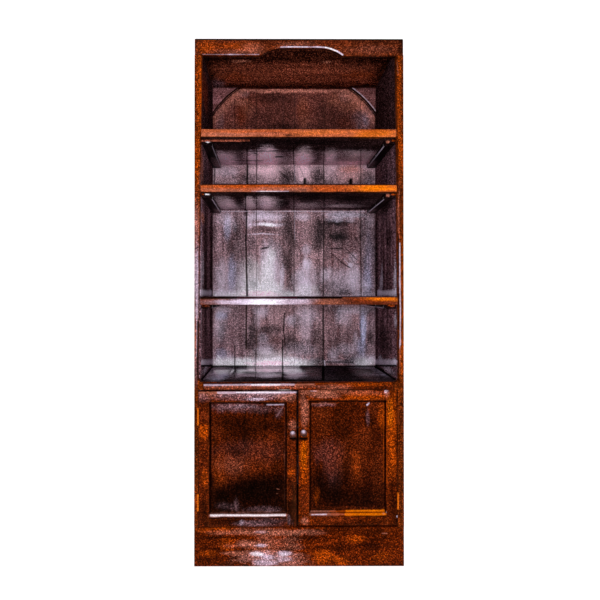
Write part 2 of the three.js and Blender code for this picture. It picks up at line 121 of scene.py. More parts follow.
def makeGrain():
    tree, given, out = startGroup("wood grain", [
        ("Place", "Vector", (0, 0, 0)), ("Along", "Vector", (1, 1, 1)), ("Seed", "Float", 0.0)],
        ["Fibres", "Fine", "Mottle", "Speckle", "Height"])
    moved = vectorSums(tree, "ADD", given["Place"], scaled(tree, (3.1, 1.7, 2.3), given["Seed"]))
    along = vectorSums(tree, "MULTIPLY", moved, given["Along"])
    fibres = noise(tree, along, grainScales["fibres"], 6.0, 0.62, 0.5)
    fine = noise(tree, along, grainScales["fine"], 3.0, 0.6)
    tree.links.new(stretched(tree, fibres, 0.34, 0.66), out["Fibres"])
    tree.links.new(stretched(tree, fine, 0.3, 0.7), out["Fine"])
    mottle = noise(tree, moved, grainScales["mottle"], 4.0, 0.65)
    tree.links.new(stretched(tree, mottle, 0.35, 0.65), out["Mottle"])
    flecks = {"Vector": moved, "Scale": grainScales["speckle"]}
    flecks = put(tree, "ShaderNodeTexVoronoi", flecks).outputs["Color"]
    flecked = dot(tree, flecks, (0.6, 0.4, 0.0))
    tree.links.new(stretched(tree, flecked, 0.1, 0.9, -1.35, 0.85), out["Speckle"])
    height = sums(tree, "ADD", sums(tree, "MULTIPLY", fibres, 0.5), sums(tree, "MULTIPLY", fine, 0.5))
    tree.links.new(height, out["Height"])
    return tree


def makePatch():
    tree, given, out = startGroup("soft patch", [
        ("Place", "Vector", (0, 0, 0)), ("Centre", "Vector", (0, 0, 0)), ("Size", "Vector", (1, 1, 1)),
        ("Ragged", "Float", 0.0)], ["Mask"])
    away = vectorSums(tree, "SUBTRACT", given["Place"], given["Centre"])
    reach = size(tree, vectorSums(tree, "DIVIDE", away, given["Size"]))
    reach = sums(tree, "ADD", reach, given["Ragged"])
    tree.links.new(stretched(tree, reach, 1.0, 0.2, smooth=True), out["Mask"])
    return tree


# a line's mask; lines draw cracks, painted shadow lines and painted highlight lines
def makeLine():
    tree, given, out = startGroup("crack, painted shadow and painted highlight line", [
        ("Place", "Vector", (0, 0, 0)), ("Start", "Vector", (0, 0, 0)), ("End", "Vector", (1, 0, 0)),
        ("Width", "Float", 0.002), ("Ragged", "Float", 0.0)], ["Mask"])
    run = vectorSums(tree, "SUBTRACT", given["End"], given["Start"])
    there = vectorSums(tree, "SUBTRACT", given["Place"], given["Start"])
    share = sums(tree, "DIVIDE", dot(tree, there, run), dot(tree, run, run), clamp=True)
    gap = size(tree, vectorSums(tree, "SUBTRACT", there, scaled(tree, run, share)))
    reach = sums(tree, "ADD", sums(tree, "DIVIDE", gap, given["Width"]), given["Ragged"])
    tree.links.new(stretched(tree, reach, 1.0, 0.2, smooth=True), out["Mask"])
    return tree


# a curved band at a radius about a centre, in the plane of the front
def makeBow():
    tree, given, out = startGroup("curved band", [
        ("Place", "Vector", (0, 0, 0)), ("Centre", "Vector", (0, 0, 0)), ("Toward", "Vector", (0, 0, 1)),
        ("Radius", "Float", 0.4), ("Width", "Float", 0.01)], ["Mask"])
    away = vectorSums(tree, "SUBTRACT", given["Place"], given["Centre"])
    flat = vectorSums(tree, "MULTIPLY", away, (1, 0, 1))
    long = size(tree, flat)
    off = sums(tree, "ABSOLUTE", sums(tree, "SUBTRACT", long, given["Radius"]))
    band = stretched(tree, sums(tree, "DIVIDE", off, given["Width"]), 1.0, 0.3, smooth=True)
    ends = stretched(tree, sums(tree, "DIVIDE", dot(tree, flat, given["Toward"]), long), 0.95, 0.972)
    tree.links.new(sums(tree, "MULTIPLY", band, ends), out["Mask"])
    return tree


def makeEdgeWear():
    tree, given, out = startGroup("edge wear", [
        ("Place", "Vector", (0, 0, 0)), ("Width", "Float", 0.003), ("Patchy", "Float", 0.5)], ["Mask"])
    rounded = put(tree, "ShaderNodeBevel", {"Radius": given["Width"]}, samples=4).outputs["Normal"]
    flat = put(tree, "ShaderNodeNewGeometry").outputs["True Normal"]
    edge = stretched(tree, dot(tree, rounded, flat), 0.995, 0.86)
    gaps = stretched(tree, noise(tree, given["Place"], grainScales["wear"], 4.0, 0.7), 0.42, 0.6)
    kept = sums(tree, "SUBTRACT", 1.0, sums(tree, "MULTIPLY", gaps, given["Patchy"]))
    tree.links.new(sums(tree, "MULTIPLY", edge, kept, clamp=True), out["Mask"])
    return tree


grainGroup, patchGroup, lineGroup = makeGrain(), makePatch(), makeLine()
bowGroup, edgeWearGroup = makeBow(), makeEdgeWear()

# tints of the marks as screen values; the pale ones are painted highlights and painted reflections of the lamps
# and the room in the varnish, and glow goes past 255, so that it stays bright between the flecks; the
# near-black one is painted shade in gaps, recesses and under parts, and also the dark of cracks and dark
# streaks
tints = {
    "white": (248, 246, 255), "haze": (228, 213, 236), "bluish": (180, 184, 222), "mauve": (129, 96, 103),
    "pink": (197, 123, 107), "bloom": (196, 178, 200), "gleam": (252, 246, 255), "rose": (162, 96, 77),
    "blush": (246, 208, 222), "lilac": (246, 226, 252), "glow": (300, 250, 276), "amber": (169, 66, 4),
    "flame": (230, 114, 2), "russet": (103, 37, 13), "rust": (96, 35, 11), "wine": (61, 7, 28),
    "brown": (55, 22, 11), "soot": (3, 1, 1),
}
# how far the grain is drawn out along each axis
runs = {"up": (1.0, 1.0, 0.07), "across": (0.07, 1.0, 1.0), "deep": (1.0, 0.07, 1.0)}

# the grain's direction; tones and strengths that a finish starts from, of which each piece changes some
woodLook = {
    "runs": "up", "seed": 0.0, "dark": (33, 10, 3), "light": (81, 32, 11), "warm": (98, 39, 6),
    "warmShare": 0.3, "speckle": 5.2, "calm": None, "glint": (30, 11, 4), "fine": 0.2, "ragged": 1.4,
    "stray": 0.02, "wear": 0.3, "wearWidth": 0.003, "patchy": 0.8, "wearTone": (138, 70, 33),
    "rough": 0.36, "bump": 0.3, "gloss": (255, 150, 80), "level": 0.015, "coat": 0.0, "coatRough": 0.1,
    "coatIor": 1.5, "coatFrom": None, "plain": None,
}


# what all the finishes have in common; ranges are of brightness or speckle and of the strengths there
common = {
    "longMarks": 0.25, "driftScale": 16.0, "ragScale": 60.0, "thinned": 0.78, "lineStray": 0.003,
    "crisp": 0.4, "broken": 1.1, "lineFlecks": (-0.9, 0.6, 0.55, 1.0), "speckFade": (0.02, 0.5, 1.0, 0.3),
    "bareSpeckle": 2.2, "roughSpread": (-0.06, 0.08), "bumpHeight": 0.001, "coatFade": (0.03, 0.5),
}
# how much red, green and blue count toward brightness
eye = (0.3, 0.5, 0.2)


def look(**changes):
    return {**woodLook, **changes}


# one varnished wood finish: zones are slow changes along an axis (tint, axis, from, to, amount), marks are
# soft patches (tint, centre, half size, amount), lines run from a start to an end (tint, start, end, width,
# amount) and bows are curved bands (tint, centre, direction of its middle, radius, width, amount)
def varnish(name, wood, zones=(), marks=(), lines=(), bows=()):
    material = bpy.data.materials.new(name)
    material.use_nodes = True
    tree = material.node_tree
    shader = tree.nodes["Principled BSDF"]
    spot = put(tree, "ShaderNodeTexCoord").outputs["Object"]
    grain = place(tree, grainGroup, {"Place": spot, "Along": runs[wood["runs"]], "Seed": wood["seed"]})
    colour = mixed(tree, grain["Fibres"], tone(*wood["dark"]), tone(*wood["light"]))
    warmth = sums(tree, "MULTIPLY", grain["Mottle"], wood["warmShare"])
    colour = mixed(tree, warmth, colour, tone(*wood["warm"]))
    parts = put(tree, "ShaderNodeSeparateXYZ", {0: spot}).outputs
    for tint, axis, start, end, amount in zones:
        ramp = stretched(tree, parts[axis], start, end, smooth=True)
        shade = tone(*(tints[tint] if isinstance(tint, str) else tint))
        colour = mixed(tree, sums(tree, "MULTIPLY", ramp, amount), colour, shade)
    if marks or lines:
        alongGrain = [common["longMarks"] if v < 1 else 1 for v in runs[wood["runs"]]]
        streaky = vectorSums(tree, "MULTIPLY", spot, alongGrain)
        drift = noise(tree, streaky, common["driftScale"], 3.0, output="Color")
        drift = vectorSums(tree, "SUBTRACT", drift, (0.5, 0.5, 0.5))
        strayed = vectorSums(tree, "ADD", spot, scaled(tree, drift, wood["stray"]))
        rag = sums(tree, "SUBTRACT", noise(tree, streaky, common["ragScale"], 5.0, 0.75), 0.5)
        edge = sums(tree, "MULTIPLY", rag, wood["ragged"])
        thinned = stretched(tree, grain["Fibres"], 0.0, 1.0, common["thinned"], 1.0)
    for tint, centre, reach, amount in marks:
        mask = place(tree, patchGroup, {"Place": strayed, "Centre": centre, "Size": reach, "Ragged": edge})
        share = sums(tree, "MULTIPLY", sums(tree, "MULTIPLY", mask["Mask"], amount), thinned)
        colour = mixed(tree, share, colour, tone(*tints[tint]))
    for tint, centre, toward, radius, width, amount in bows:
        mask = place(tree, bowGroup, {
            "Place": spot, "Centre": centre, "Toward": toward, "Radius": radius, "Width": width})
        colour = mixed(tree, sums(tree, "MULTIPLY", mask["Mask"], amount), colour, tone(*tints[tint]))
    bright = dot(tree, colour, eye)
    swing = sums(tree, "MULTIPLY", grain["Speckle"], stretched(tree, bright, *common["speckFade"]))
    if wood["calm"]:
        axis, start, end, least = wood["calm"]
        swing = sums(tree, "MULTIPLY", swing, stretched(tree, parts[axis], start, end, 1.0, least))
    speck = sums(tree, "POWER", wood["speckle"], swing)
    fine = stretched(tree, grain["Fine"], 0.0, 1.0, 1.0 - wood["fine"], 1.0 + wood["fine"])
    colour = scaled(tree, colour, sums(tree, "MULTIPLY", speck, fine))
    glint = scaled(tree, tone(*wood["glint"])[:3], sums(tree, "MAXIMUM", swing, 0.0))
    colour = vectorSums(tree, "ADD", colour, glint)
    if wood["plain"]:
        axis, start, end, dark, light = wood["plain"]
        bare = mixed(tree, grain["Fibres"], tone(*dark), tone(*light))
        bare = scaled(tree, bare, sums(tree, "POWER", common["bareSpeckle"], grain["Speckle"]))
        colour = mixed(tree, stretched(tree, parts[axis], start, end), colour, bare)
    worn = place(tree, edgeWearGroup, {"Place": spot, "Width": wood["wearWidth"], "Patchy": wood["patchy"]})
    colour = mixed(tree, sums(tree, "MULTIPLY", worn["Mask"], wood["wear"]), colour, tone(*wood["wearTone"]))
    if lines:
        slight = vectorSums(tree, "ADD", spot, scaled(tree, drift, common["lineStray"]))
        crisp, broken = (sums(tree, "MULTIPLY", rag, common[edge]) for edge in ("crisp", "broken"))
        flecked = stretched(tree, grain["Speckle"], *common["lineFlecks"])
    for tint, start, end, width, amount in lines:
        black = tint == "soot"
        mask = place(tree, lineGroup, {
            "Place": slight, "Start": start, "End": end, "Width": width, "Ragged": crisp if black else broken})
        share = sums(tree, "MULTIPLY", mask["Mask"], amount)
        if not black:
            share = sums(tree, "MULTIPLY", share, flecked)
        colour = mixed(tree, share, colour, tone(*tints[tint]))
    tree.links.new(colour, shader.inputs["Base Color"])
    smoothest, roughest = (wood["rough"] + change for change in common["roughSpread"])
    rough = stretched(tree, grain["Mottle"], 0.0, 1.0, smoothest, roughest)
    tree.links.new(rough, shader.inputs["Roughness"])
    bump = put(tree, "ShaderNodeBump", {
        "Height": grain["Height"], "Strength": wood["bump"], "Distance": common["bumpHeight"]})
    tree.links.new(bump.outputs["Normal"], shader.inputs["Normal"])
    shader.inputs["Specular Tint"].default_value = tone(*wood["gloss"])
    shader.inputs["Specular IOR Level"].default_value = wood["level"]
    shader.inputs["Coat Roughness"].default_value = wood["coatRough"]
    shader.inputs["Coat IOR"].default_value = wood["coatIor"]
    if wood["coatFrom"]:
        axis, start, end = wood["coatFrom"]
        shown = stretched(tree, parts[axis], start, end, 0.0, wood["coat"])
        shown = sums(tree, "MULTIPLY", shown, stretched(tree, bright, *common["coatFade"]))
        tree.links.new(shown, shader.inputs["Coat Weight"])
    else:
        shader.inputs["Coat Weight"].default_value = wood["coat"]
    return material


# keeps the patches (four values) and the lines (five) that touch a solid's box; a patch spreads past its size
def touching(kept, box, spread=1.35, slack=0.004):
    near = []
    for mark in kept:
        if len(mark) == 4:
            low = [c - s * spread for c, s in zip(mark[1], mark[2])]
            high = [c + s * spread for c, s in zip(mark[1], mark[2])]
        else:
            low = [min(a, b) - mark[3] for a, b in zip(mark[1], mark[2])]
            high = [max(a, b) + mark[3] for a, b in zip(mark[1], mark[2])]
        if all(b > l - slack and a < h + slack for a, b, l, h in zip(low, high, *box)):
            near.append(mark)
    return near


# gives each solid whose name begins so a finish of its own, with the marks that reach it
def finish(starts, wood, zones=(), marks=(), lines=(), bows=()):
    for count, name in enumerate(sorted(n for n in cad if n.startswith(starts))):
        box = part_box(name)
        own = {**wood, "seed": wood["seed"] + 0.41 * count}
        near = touching(marks, box), touching(lines, box)
        material = varnish(name.replace("_", " "), own, zones, *near, bows)
        for slot in cad[name].material_slots:
            slot.material = material


# marks are listed in millimetres, on an upright plane by x and z or on a level one by x and y. A patch is
# (tint, x, z, half width, half height, amount) and a stroke (tint, x, z, x and z of its end, width, amount)
def inPlace(x, other, plane, level):
    return (x / 1000, other / 1000, plane) if level else (x / 1000, plane, other / 1000)


def patches(plane, deep, rows, level=False):
    return [(tint, inPlace(x, other, plane, level), inPlace(wide, high, deep, level), amount)
            for tint, x, other, wide, high, amount in rows]


def strokes(plane, rows, level=False):
    return [(tint, inPlace(x, other, plane, level), inPlace(endX, endOther, plane, level), width / 1000,
             amount) for tint, x, other, endX, endOther, width, amount in rows]


# soft edges on the solids
def makeSoftShading():
    tree = bpy.data.node_groups.new("soft shading", "GeometryNodeTree")
    for way in ("INPUT", "OUTPUT"):
        tree.interface.new_socket(name="Geometry", in_out=way, socket_type="NodeSocketGeometry")
    angle = put(tree, "GeometryNodeInputMeshEdgeAngle").outputs["Unsigned Angle"]
    sharp = put(tree, "FunctionNodeCompare", {0: angle, 1: math.radians(38)}, operation="GREATER_THAN")
    shade = put(tree, "GeometryNodeSetMeshNormal", {
        "Mesh": put(tree, "NodeGroupInput").outputs[0], "Remove Custom": True,
        "Edge Sharpness": sharp.outputs[0], "Face Sharpness": False})
    tree.links.new(shade.outputs[0], put(tree, "NodeGroupOutput").inputs[0])
    return tree


softShading = makeSoftShading()


def soften(piece, radius, steps, angle=34, weldReach=2e-5, flatWithin=0.6):
    piece.modifiers.new("weld", "WELD").merge_threshold = weldReach
    plain = piece.modifiers.new("plain faces", "DECIMATE")
    plain.decimate_type = "DISSOLVE"
    plain.angle_limit = math.radians(flatWithin)
    if radius:
        edge = piece.modifiers.new("soft edges", "BEVEL")
        edge.width, edge.segments = radius, steps
        edge.limit_method, edge.angle_limit = "ANGLE", math.radians(angle)
    piece.modifiers.new("shading", "NODES").node_group = softShading


# an edge's radius on the solids whose names begin so; door_panel is for the panel of either door
edgeRadius = {
    "side_panel": 0.0012, "top_board": 0.001, "top_rail": 0.0035, "face_stile": 0.0028, "deck_rail": 0.003,
    "deck_board": 0.0006, "plinth": 0.002, "shelf": 0.003, "cabinet": 0.0012, "cleat": 0.0015,
    "back_board": 0.0013, "spandrel": 0.0012, "door": 0.0011, "hinge": 0.0004, "strike": 0.0003,
    "catch": 0.0008, "knob": 0.0, "door_panel": 0.0008,
}
for name, piece in cad.items():
    start = max((k for k in edgeRadius if name.startswith(k)), key=len)
    kind = "door_panel" if name.startswith("door") and name.endswith("panel") else start
    soften(piece, edgeRadius[kind], 2 if start in ("hinge", "door") else 3)
print("bookcase: edges softened")


# the plane, by its y, of the marks on the front faces and of those on the door panels
frontY, panelY = -0.156, -0.148

# top rail with its arch; its pale lines are painted highlights and its dark ones painted shade, and the gleam
# along the arch's edge is a painted highlight: tint, x, rise over the foot, amount
topRailMarks = patches(frontY, 0.03, [
    ("amber", -339, 1890, 53, 33, 0.5), ("russet", -265, 1888, 53, 33, 0.35),
    ("amber", -210, 1892, 113, 20, 0.4), ("rose", -167, 1888, 58, 22, 0.35),
    ("soot", -4, 1904, 168, 20, 0.4), ("rose", -208, 1872, 138, 11, 0.35), ("rose", -4, 1902, 95, 13, 0.25),
    ("soot", -90, 1870, 29, 15, 0.8), ("soot", -126, 1895, 80, 15, 0.25), ("rose", 267, 1878, 131, 26, 0.15),
    ("soot", 241, 1908, 182, 11, 0.3), ("russet", 139, 1904, 109, 13, 0.35),
    ("soot", 374, 1885, 15, 40, 0.8), ("soot", 310, 1902, 69, 13, 0.3), ("soot", -193, 1912, 146, 6, 0.35)])
topRailLines = strokes(frontY, [
    ("bloom", -351, 1861, -244, 1861, 2.7, 0.75), ("bloom", -254, 1861, -147, 1861, 3.5, 0.9),
    ("soot", -377, 1918, 378, 1917, 6, 0.95), ("amber", -366, 1912, -305, 1912, 2.2, 0.5)])
archGleam = {"y": -0.153, "foot": 1.86, "wide": 0.0038, "points": [
    ("rose", -0.085, 0.0262, 0.5), ("bloom", -0.066, 0.0297, 0.8), ("haze", -0.04, 0.0309, 0.9),
    ("bloom", 0.03, 0.0309, 0.8), ("haze", 0.066, 0.031, 0.9), ("gleam", 0.097, 0.0294, 1.0),
    ("gleam", 0.118, 0.024, 1.0), ("haze", 0.139, 0.015, 1.0), ("haze", 0.1595, 0.0025, 1.0)]}
for (tint, x, rise, amount), (_, farX, farRise, _) in zip(archGleam["points"], archGleam["points"][1:]):
    topRailLines.append((tint, (x, archGleam["y"], archGleam["foot"] + rise),
                         (farX, archGleam["y"], archGleam["foot"] + farRise), archGleam["wide"], amount))
# the zone paints shade on the rail's underside behind its front edge
finish("top_rail", look(
    seed=1.0, runs="across", dark=(52, 19, 8), light=(97, 40, 19), warm=(100, 39, 14), speckle=4.2,
    glint=(44, 18, 9)), zones=[("soot", "Y", -0.1475, -0.1455, 0.9)], marks=topRailMarks, lines=topRailLines)

# face stiles, orange in places, with painted highlights where the light catches them and painted shade along
# their inner edges
stileMarks = patches(frontY, 0.03, [
    ("bloom", -374, 1025, 13, 211, 0.5), ("rose", -374, 821, 13, 109, 0.5),
    ("bloom", 366, 1025, 4, 211, 0.5), ("rose", 366, 810, 4, 95, 0.4), ("mauve", -374, 1239, 13, 95, 0.6),
    ("amber", 379, 958, 9, 306, 0.45), ("soot", 380, 1076, 8, 58, 0.3), ("amber", -365, 1719, 16, 193, 0.35),
    ("amber", 365, 1719, 13, 193, 0.35), ("soot", -381, 1725, 5, 200, 0.5),
    ("soot", 377, 1725, 10, 200, 0.4), ("amber", -370, 1488, 16, 138, 0.5),
    ("amber", 367, 1509, 13, 109, 0.5), ("rose", -371, 1263, 15, 111, 0.5), ("rose", 365, 1278, 6, 133, 0.5),
    ("mauve", -374, 737, 12, 120, 0.6), ("soot", -377, 535, 8, 162, 0.35), ("amber", -367, 546, 6, 44, 0.6),
    ("amber", 373, 735, 15, 124, 0.3), ("soot", 370, 530, 12, 155, 0.35), ("amber", -371, 233, 8, 44, 0.6),
    ("soot", -374, 356, 11, 102, 0.25), ("soot", 373, 305, 15, 219, 0.3),
    ("amber", -356, 1712, 12, 151, 0.9), ("rose", -355, 1449, 13, 117, 0.35)])
stileLines = strokes(frontY, [
    ("bloom", -370, 1142, -372, 803, 3.5, 0.5), ("haze", 367, 1173, 368, 803, 3.5, 0.6),
    ("soot", -361, 1203, -364, 803, 4.8, 1), ("soot", 361, 1203, 363, 803, 5.4, 1),
    ("soot", -352, 1855, -353, 1589, 4.8, 1), ("soot", 354, 1855, 357, 1589, 4.2, 0.9),
    ("rose", 355, 1857, 362, 1788, 2.2, 0.5), ("soot", -357, 1560, -359, 1185, 5.4, 1),
    ("soot", 357, 1560, 359, 1185, 4.8, 0.9), ("bloom", 366, 821, 366, 791, 3.1, 0.7),
    ("rose", 366, 791, 365, 699, 2.7, 0.6), ("bloom", -371, 821, -373, 760, 3.1, 0.5),
    ("soot", -367, 821, -367, 679, 6.6, 1), ("soot", -367, 887, -367, 705, 7.2, 1),
    ("soot", -360, 876, -360, 709, 7.2, 0.5), ("soot", 361, 821, 361, 676, 5.4, 1)])
finish("face_stile", look(seed=2.0, dark=(53, 18, 4), light=(103, 40, 8), warm=(116, 45, 4)),
       marks=stileMarks, lines=stileLines)

# side panels: upright bands inside the bays (tint, y, half width, amount), the dark ones painted shade and the
# pale ones painted reflections, pale bands of painted highlight in the middle bay by their y, and spots (tint,
# y, z, half width, half height, amount), most of them painted shade and painted highlights
sides = {
    "left": {
        "x": -0.361, "pale": [-0.12],
        "bands": [("soot", -0.03, 0.07, 1.0), ("soot", 0.125, 0.06, 1.0), ("mauve", 0.05, 0.03, 0.2),
                  ("haze", -0.122, 0.02, 0.15)],
        "spots": [("russet", -0.04, 1.78, 0.11, 0.1, 0.8), ("amber", -0.125, 1.48, 0.03, 0.08, 0.5),
                  ("soot", 0.1, 1.25, 0.06, 0.08, 0.5), ("rose", -0.1, 1.275, 0.06, 0.03, 0.7),
                  ("haze", -0.085, 1.085, 0.03, 0.09, 0.25), ("rose", -0.11, 1.45, 0.05, 0.09, 0.5)]},
    "right": {
        "x": 0.361, "pale": [0.0625, -0.12],
        "bands": [("soot", -0.014, 0.014, 0.95), ("soot", 0.155, 0.05, 0.95), ("mauve", 0.1, 0.035, 0.3),
                  ("soot", 0.04, 0.04, 0.5), ("soot", -0.132, 0.012, 0.9), ("soot", -0.05, 0.022, 0.45)],
        "spots": [("soot", 0.04, 0.8, 0.17, 0.09, 0.8), ("soot", -0.035, 1.21, 0.07, 0.06, 1.0),
                  ("soot", 0.05, 1.44, 0.12, 0.05, 0.4), ("haze", 0.08, 1.03, 0.035, 0.05, 0.4),
                  ("haze", -0.115, 1.035, 0.03, 0.06, 0.3), ("haze", -0.12, 0.89, 0.025, 0.04, 0.35),
                  ("haze", -0.12, 0.735, 0.03, 0.02, 0.4), ("haze", 0.09, 0.705, 0.05, 0.03, 0.5),
                  ("soot", 0.0, 1.335, 0.16, 0.035, 1.0)]},
}
# a band's middle and half height, a painted highlight band's middle, half width, half height and amount, every
# mark's depth
bandZ, bandHigh, sideHighlightBand, sideDeep = 1.1, 0.58, (1.05, 0.024, 0.09, 0.35), 0.02
# painted highlight patches low and high in the lower bay, then the lines there (tint, y, z, end y, end z,
# width, amount): painted highlight lines and painted shadow lines along the corner with the deck
sidePatches = [("haze", -0.02, 0.69, 0.12, 0.022, 0.35), ("haze", -0.11, 0.993, 0.06, 0.02, 1.0),
               ("haze", 0.1, 0.993, 0.05, 0.02, 0.95)]
sideLines = [("haze", -0.12, 0.732, 0.168, 0.686, 0.017, 0.75),
             ("soot", -0.13, 0.722, 0.171, 0.668, 0.006, 1.0), ("soot", -0.15, 0.667, 0.17, 0.667, 0.009, 1.0),
             ("haze", -0.12, 0.992, 0.13, 0.99, 0.016, 0.95)]
for hand, values in sides.items():
    x = values["x"]
    spots = [(tint, y, bandZ, wide, bandHigh, amount) for tint, y, wide, amount in values["bands"]]
    spots += [("haze", y, *sideHighlightBand) for y in values["pale"]]
    spots += values["spots"] + sidePatches
    finish("side_panel_" + hand, look(
        seed=3.0, plain=("X", x * 1.02, x * 1.03, (56, 20, 6), (122, 52, 18)), dark=(50, 31, 36),
        light=(112, 80, 91), warm=(82, 50, 49), glint=(96, 64, 70), speckle=9.0, gloss=(230, 210, 220),
        stray=0.006, ragged=1.0, level=0.0, rough=0.55, wearTone=(110, 68, 48)),
        # the side panels in the top bay are darkened as painted shade
        zones=[((34, 15, 13), "Z", 1.56, 1.60, 0.92)],
        marks=[(tint, (x, y, z), (sideDeep, wide, high), amount) for tint, y, z, wide, high, amount in spots],
        lines=[(tint, (x, y, z), (x, endY, endZ), wide, amount)
               for tint, y, z, endY, endZ, wide, amount in sideLines])

# top board, seen from below as the ceiling of the top bay, with painted shade along its sides, front and back
# and painted reflections in its pale patches
ceilingMarks = patches(1.9, 0.1, [
    ("soot", -355, 0, 40, 250, 0.8), ("soot", 360, 0, 70, 250, 0.9), ("soot", 0, -80, 2500, 100, 1),
    ("soot", 50, 172, 1500, 75, 1), ("mauve", -335, 130, 45, 60, 0.8), ("rose", -225, -45, 60, 14, 0.8),
    ("rose", 115, -40, 30, 12, 0.6), ("amber", 260, 60, 100, 60, 0.3), ("amber", -250, 70, 80, 50, 0.25)],
    level=True)
finish("top_board", look(
    seed=4.0, runs="across", dark=(88, 39, 26), light=(145, 72, 52), warm=(129, 61, 40), level=0.0, rough=0.5,
    speckle=10.0, glint=(84, 38, 25), plain=("Z", 1.912, 1.916, (56, 20, 6), (112, 46, 16))),
    marks=ceilingMarks)

# plinth, with painted glare in its pale and pink patches, darker patches and a painted shadow under the doors
# along its top
plinthMarks = patches(frontY, 0.05, [
    ("amber", -302, 131, 106, 15, 0.45), ("rose", -251, 124, 113, 13, 0.45),
    ("amber", -266, 134, 33, 12, 0.5), ("rose", -57, 125, 171, 17, 0.7), ("rose", -167, 126, 80, 22, 0.35),
    ("bloom", -141, 125, 33, 9, 0.3), ("soot", -302, 106, 106, 11, 0.7), ("soot", 37, 106, 117, 15, 0.7),
    ("soot", 172, 135, 157, 13, 0.5), ("amber", -256, 80, 47, 29, 0.5), ("rose", -154, 79, 135, 22, 0.8),
    ("pink", -198, 79, 44, 11, 0.4), ("bloom", -138, 78, 27, 10, 0.8), ("bloom", -115, 48, 16, 11, 0.8),
    ("rose", -39, 80, 73, 36, 0.5), ("soot", -330, 42, 66, 55, 0.6), ("soot", -236, 26, 55, 24, 0.75),
    ("rose", -233, 48, 58, 13, 0.6), ("rose", -88, 29, 179, 44, 0.95), ("mauve", -96, 28, 138, 38, 0.6),
    ("pink", -136, 45, 58, 15, 0.5), ("bloom", -147, 44, 36, 11, 0.6), ("bloom", -119, 33, 33, 13, 0.7),
    ("gleam", -152, 43, 29, 9, 0.5), ("gleam", -55, 43, 22, 9, 0.45), ("bloom", -124, 13, 62, 16, 0.6),
    ("bloom", -52, 46, 33, 16, 0.7), ("bloom", -52, 26, 40, 13, 0.5), ("amber", 83, 34, 58, 44, 0.7),
    ("amber", 205, 101, 44, 22, 0.5), ("soot", 256, 73, 66, 29, 0.85), ("amber", 297, 34, 44, 29, 0.35),
    ("soot", 323, 14, 80, 22, 0.3), ("soot", 160, 68, 66, 26, 0.5), ("russet", -75, 80, 51, 29, 0.6),
    ("soot", -50, 64, 58, 13, 0.5), ("amber", -335, 47, 58, 18, 0.4), ("soot", -22, 91, 47, 42, 0.35),
    ("rose", -126, 102, 49, 36, 0.3), ("amber", 151, 19, 44, 19, 0.6), ("soot", 285, 45, 39, 29, 0.45)])
plinthLines = strokes(frontY, [
    ("soot", -376, 144, -4, 143, 3.6, 0.8), ("soot", 42, 147, 358, 152, 4.8, 0.8),
    ("rose", 302, 119, 318, 119, 3.5, 0.8), ("soot", -119, 131, -118, 119, 3, 0.7)])
finish("plinth", look(
    seed=5.0, runs="across", dark=(42, 10, 1), light=(92, 29, 3), warm=(109, 35, 2), ragged=1.8),
    marks=plinthMarks, lines=plinthLines)

# deck over the cabinet, and the rail under its front edge; the deck's pale patches and streaks are painted
# reflections, and its dark patches and lines painted shade and reflected dark lines
deckMarks = patches(0.666, 0.03, [
    ("glow", -362, 53, 35, 181, 0.5), ("lilac", -310, 35, 52, 207, 0.9), ("glow", -325, 122, 40, 82, 0.5),
    ("bluish", -300, -41, 42, 121, 0.6), ("lilac", -264, 81, 9, 141, 0.8), ("lilac", -228, 50, 32, 151, 0.6),
    ("lilac", -190, 105, 27, 73, 1), ("lilac", -132, 91, 115, 127, 1), ("glow", -131, 128, 108, 74, 0.9),
    ("lilac", -110, -29, 73, 63, 1), ("lilac", -14, 53, 50, 181, 1), ("lilac", -12, 112, 49, 97, 0.9),
    ("lilac", -197, -24, 85, 39, 0.7), ("mauve", 67, 50, 59, 151, 0.6), ("lilac", -2, -4, 57, 99, 0.6),
    ("lilac", 293, 133, 75, 50, 0.7), ("lilac", 269, -12, 80, 49, 0.7), ("mauve", 244, 18, 107, 131, 0.7),
    ("bluish", 347, -19, 23, 25, 0.5), ("soot", -6, -134, 501, 60, 1), ("soot", 216, 2, 153, 254, 0.9),
    ("lilac", 355, 72, 45, 155, 0.5), ("lilac", -347, 60, 71, 137, 0.5), ("soot", 217, 62, 24, 168, 0.4),
    ("mauve", 273, 35, 64, 207, 0.5), ("white", -111, 138, 143, 60, 1), ("glow", -111, 139, 131, 59, 0.8),
    ("soot", -110, 24, 134, 59, 0.35)], level=True)
deckLines = strokes(0.666, [
    ("soot", -264, 180, -244, -55, 5, 0.9), ("soot", -172, 180, -162, -74, 3.7, 0.7),
    ("soot", -49, 180, -59, -109, 6.6, 1), ("soot", 131, 180, 93, -109, 9.9, 1),
    ("soot", -230, 33, -139, 33, 24.9, 0.8), ("soot", -421, 165, -195, 165, 36.3, 1),
    ("soot", -169, 170, -147, 170, 17, 0.7), ("soot", -120, 170, -85, 170, 17, 0.6),
    ("soot", -54, 170, 26, 170, 21.9, 0.7), ("soot", 36, 175, 463, 175, 39.1, 1),
    ("soot", -364, -143, -362, 168, 10.5, 1), ("soot", 367, -109, 356, 168, 10.6, 1)], level=True)
finish("deck_board", look(
    seed=6.0, runs="across", dark=(46, 35, 41), light=(83, 68, 77), warm=(55, 39, 44), speckle=4.5,
    gloss=(235, 230, 240), level=0.0, rough=0.3, glint=(44, 34, 40), coat=1.0,
    coatRough=0.07, coatIor=2.1, coatFrom=("Y", -0.14, -0.1)), marks=deckMarks, lines=deckLines)
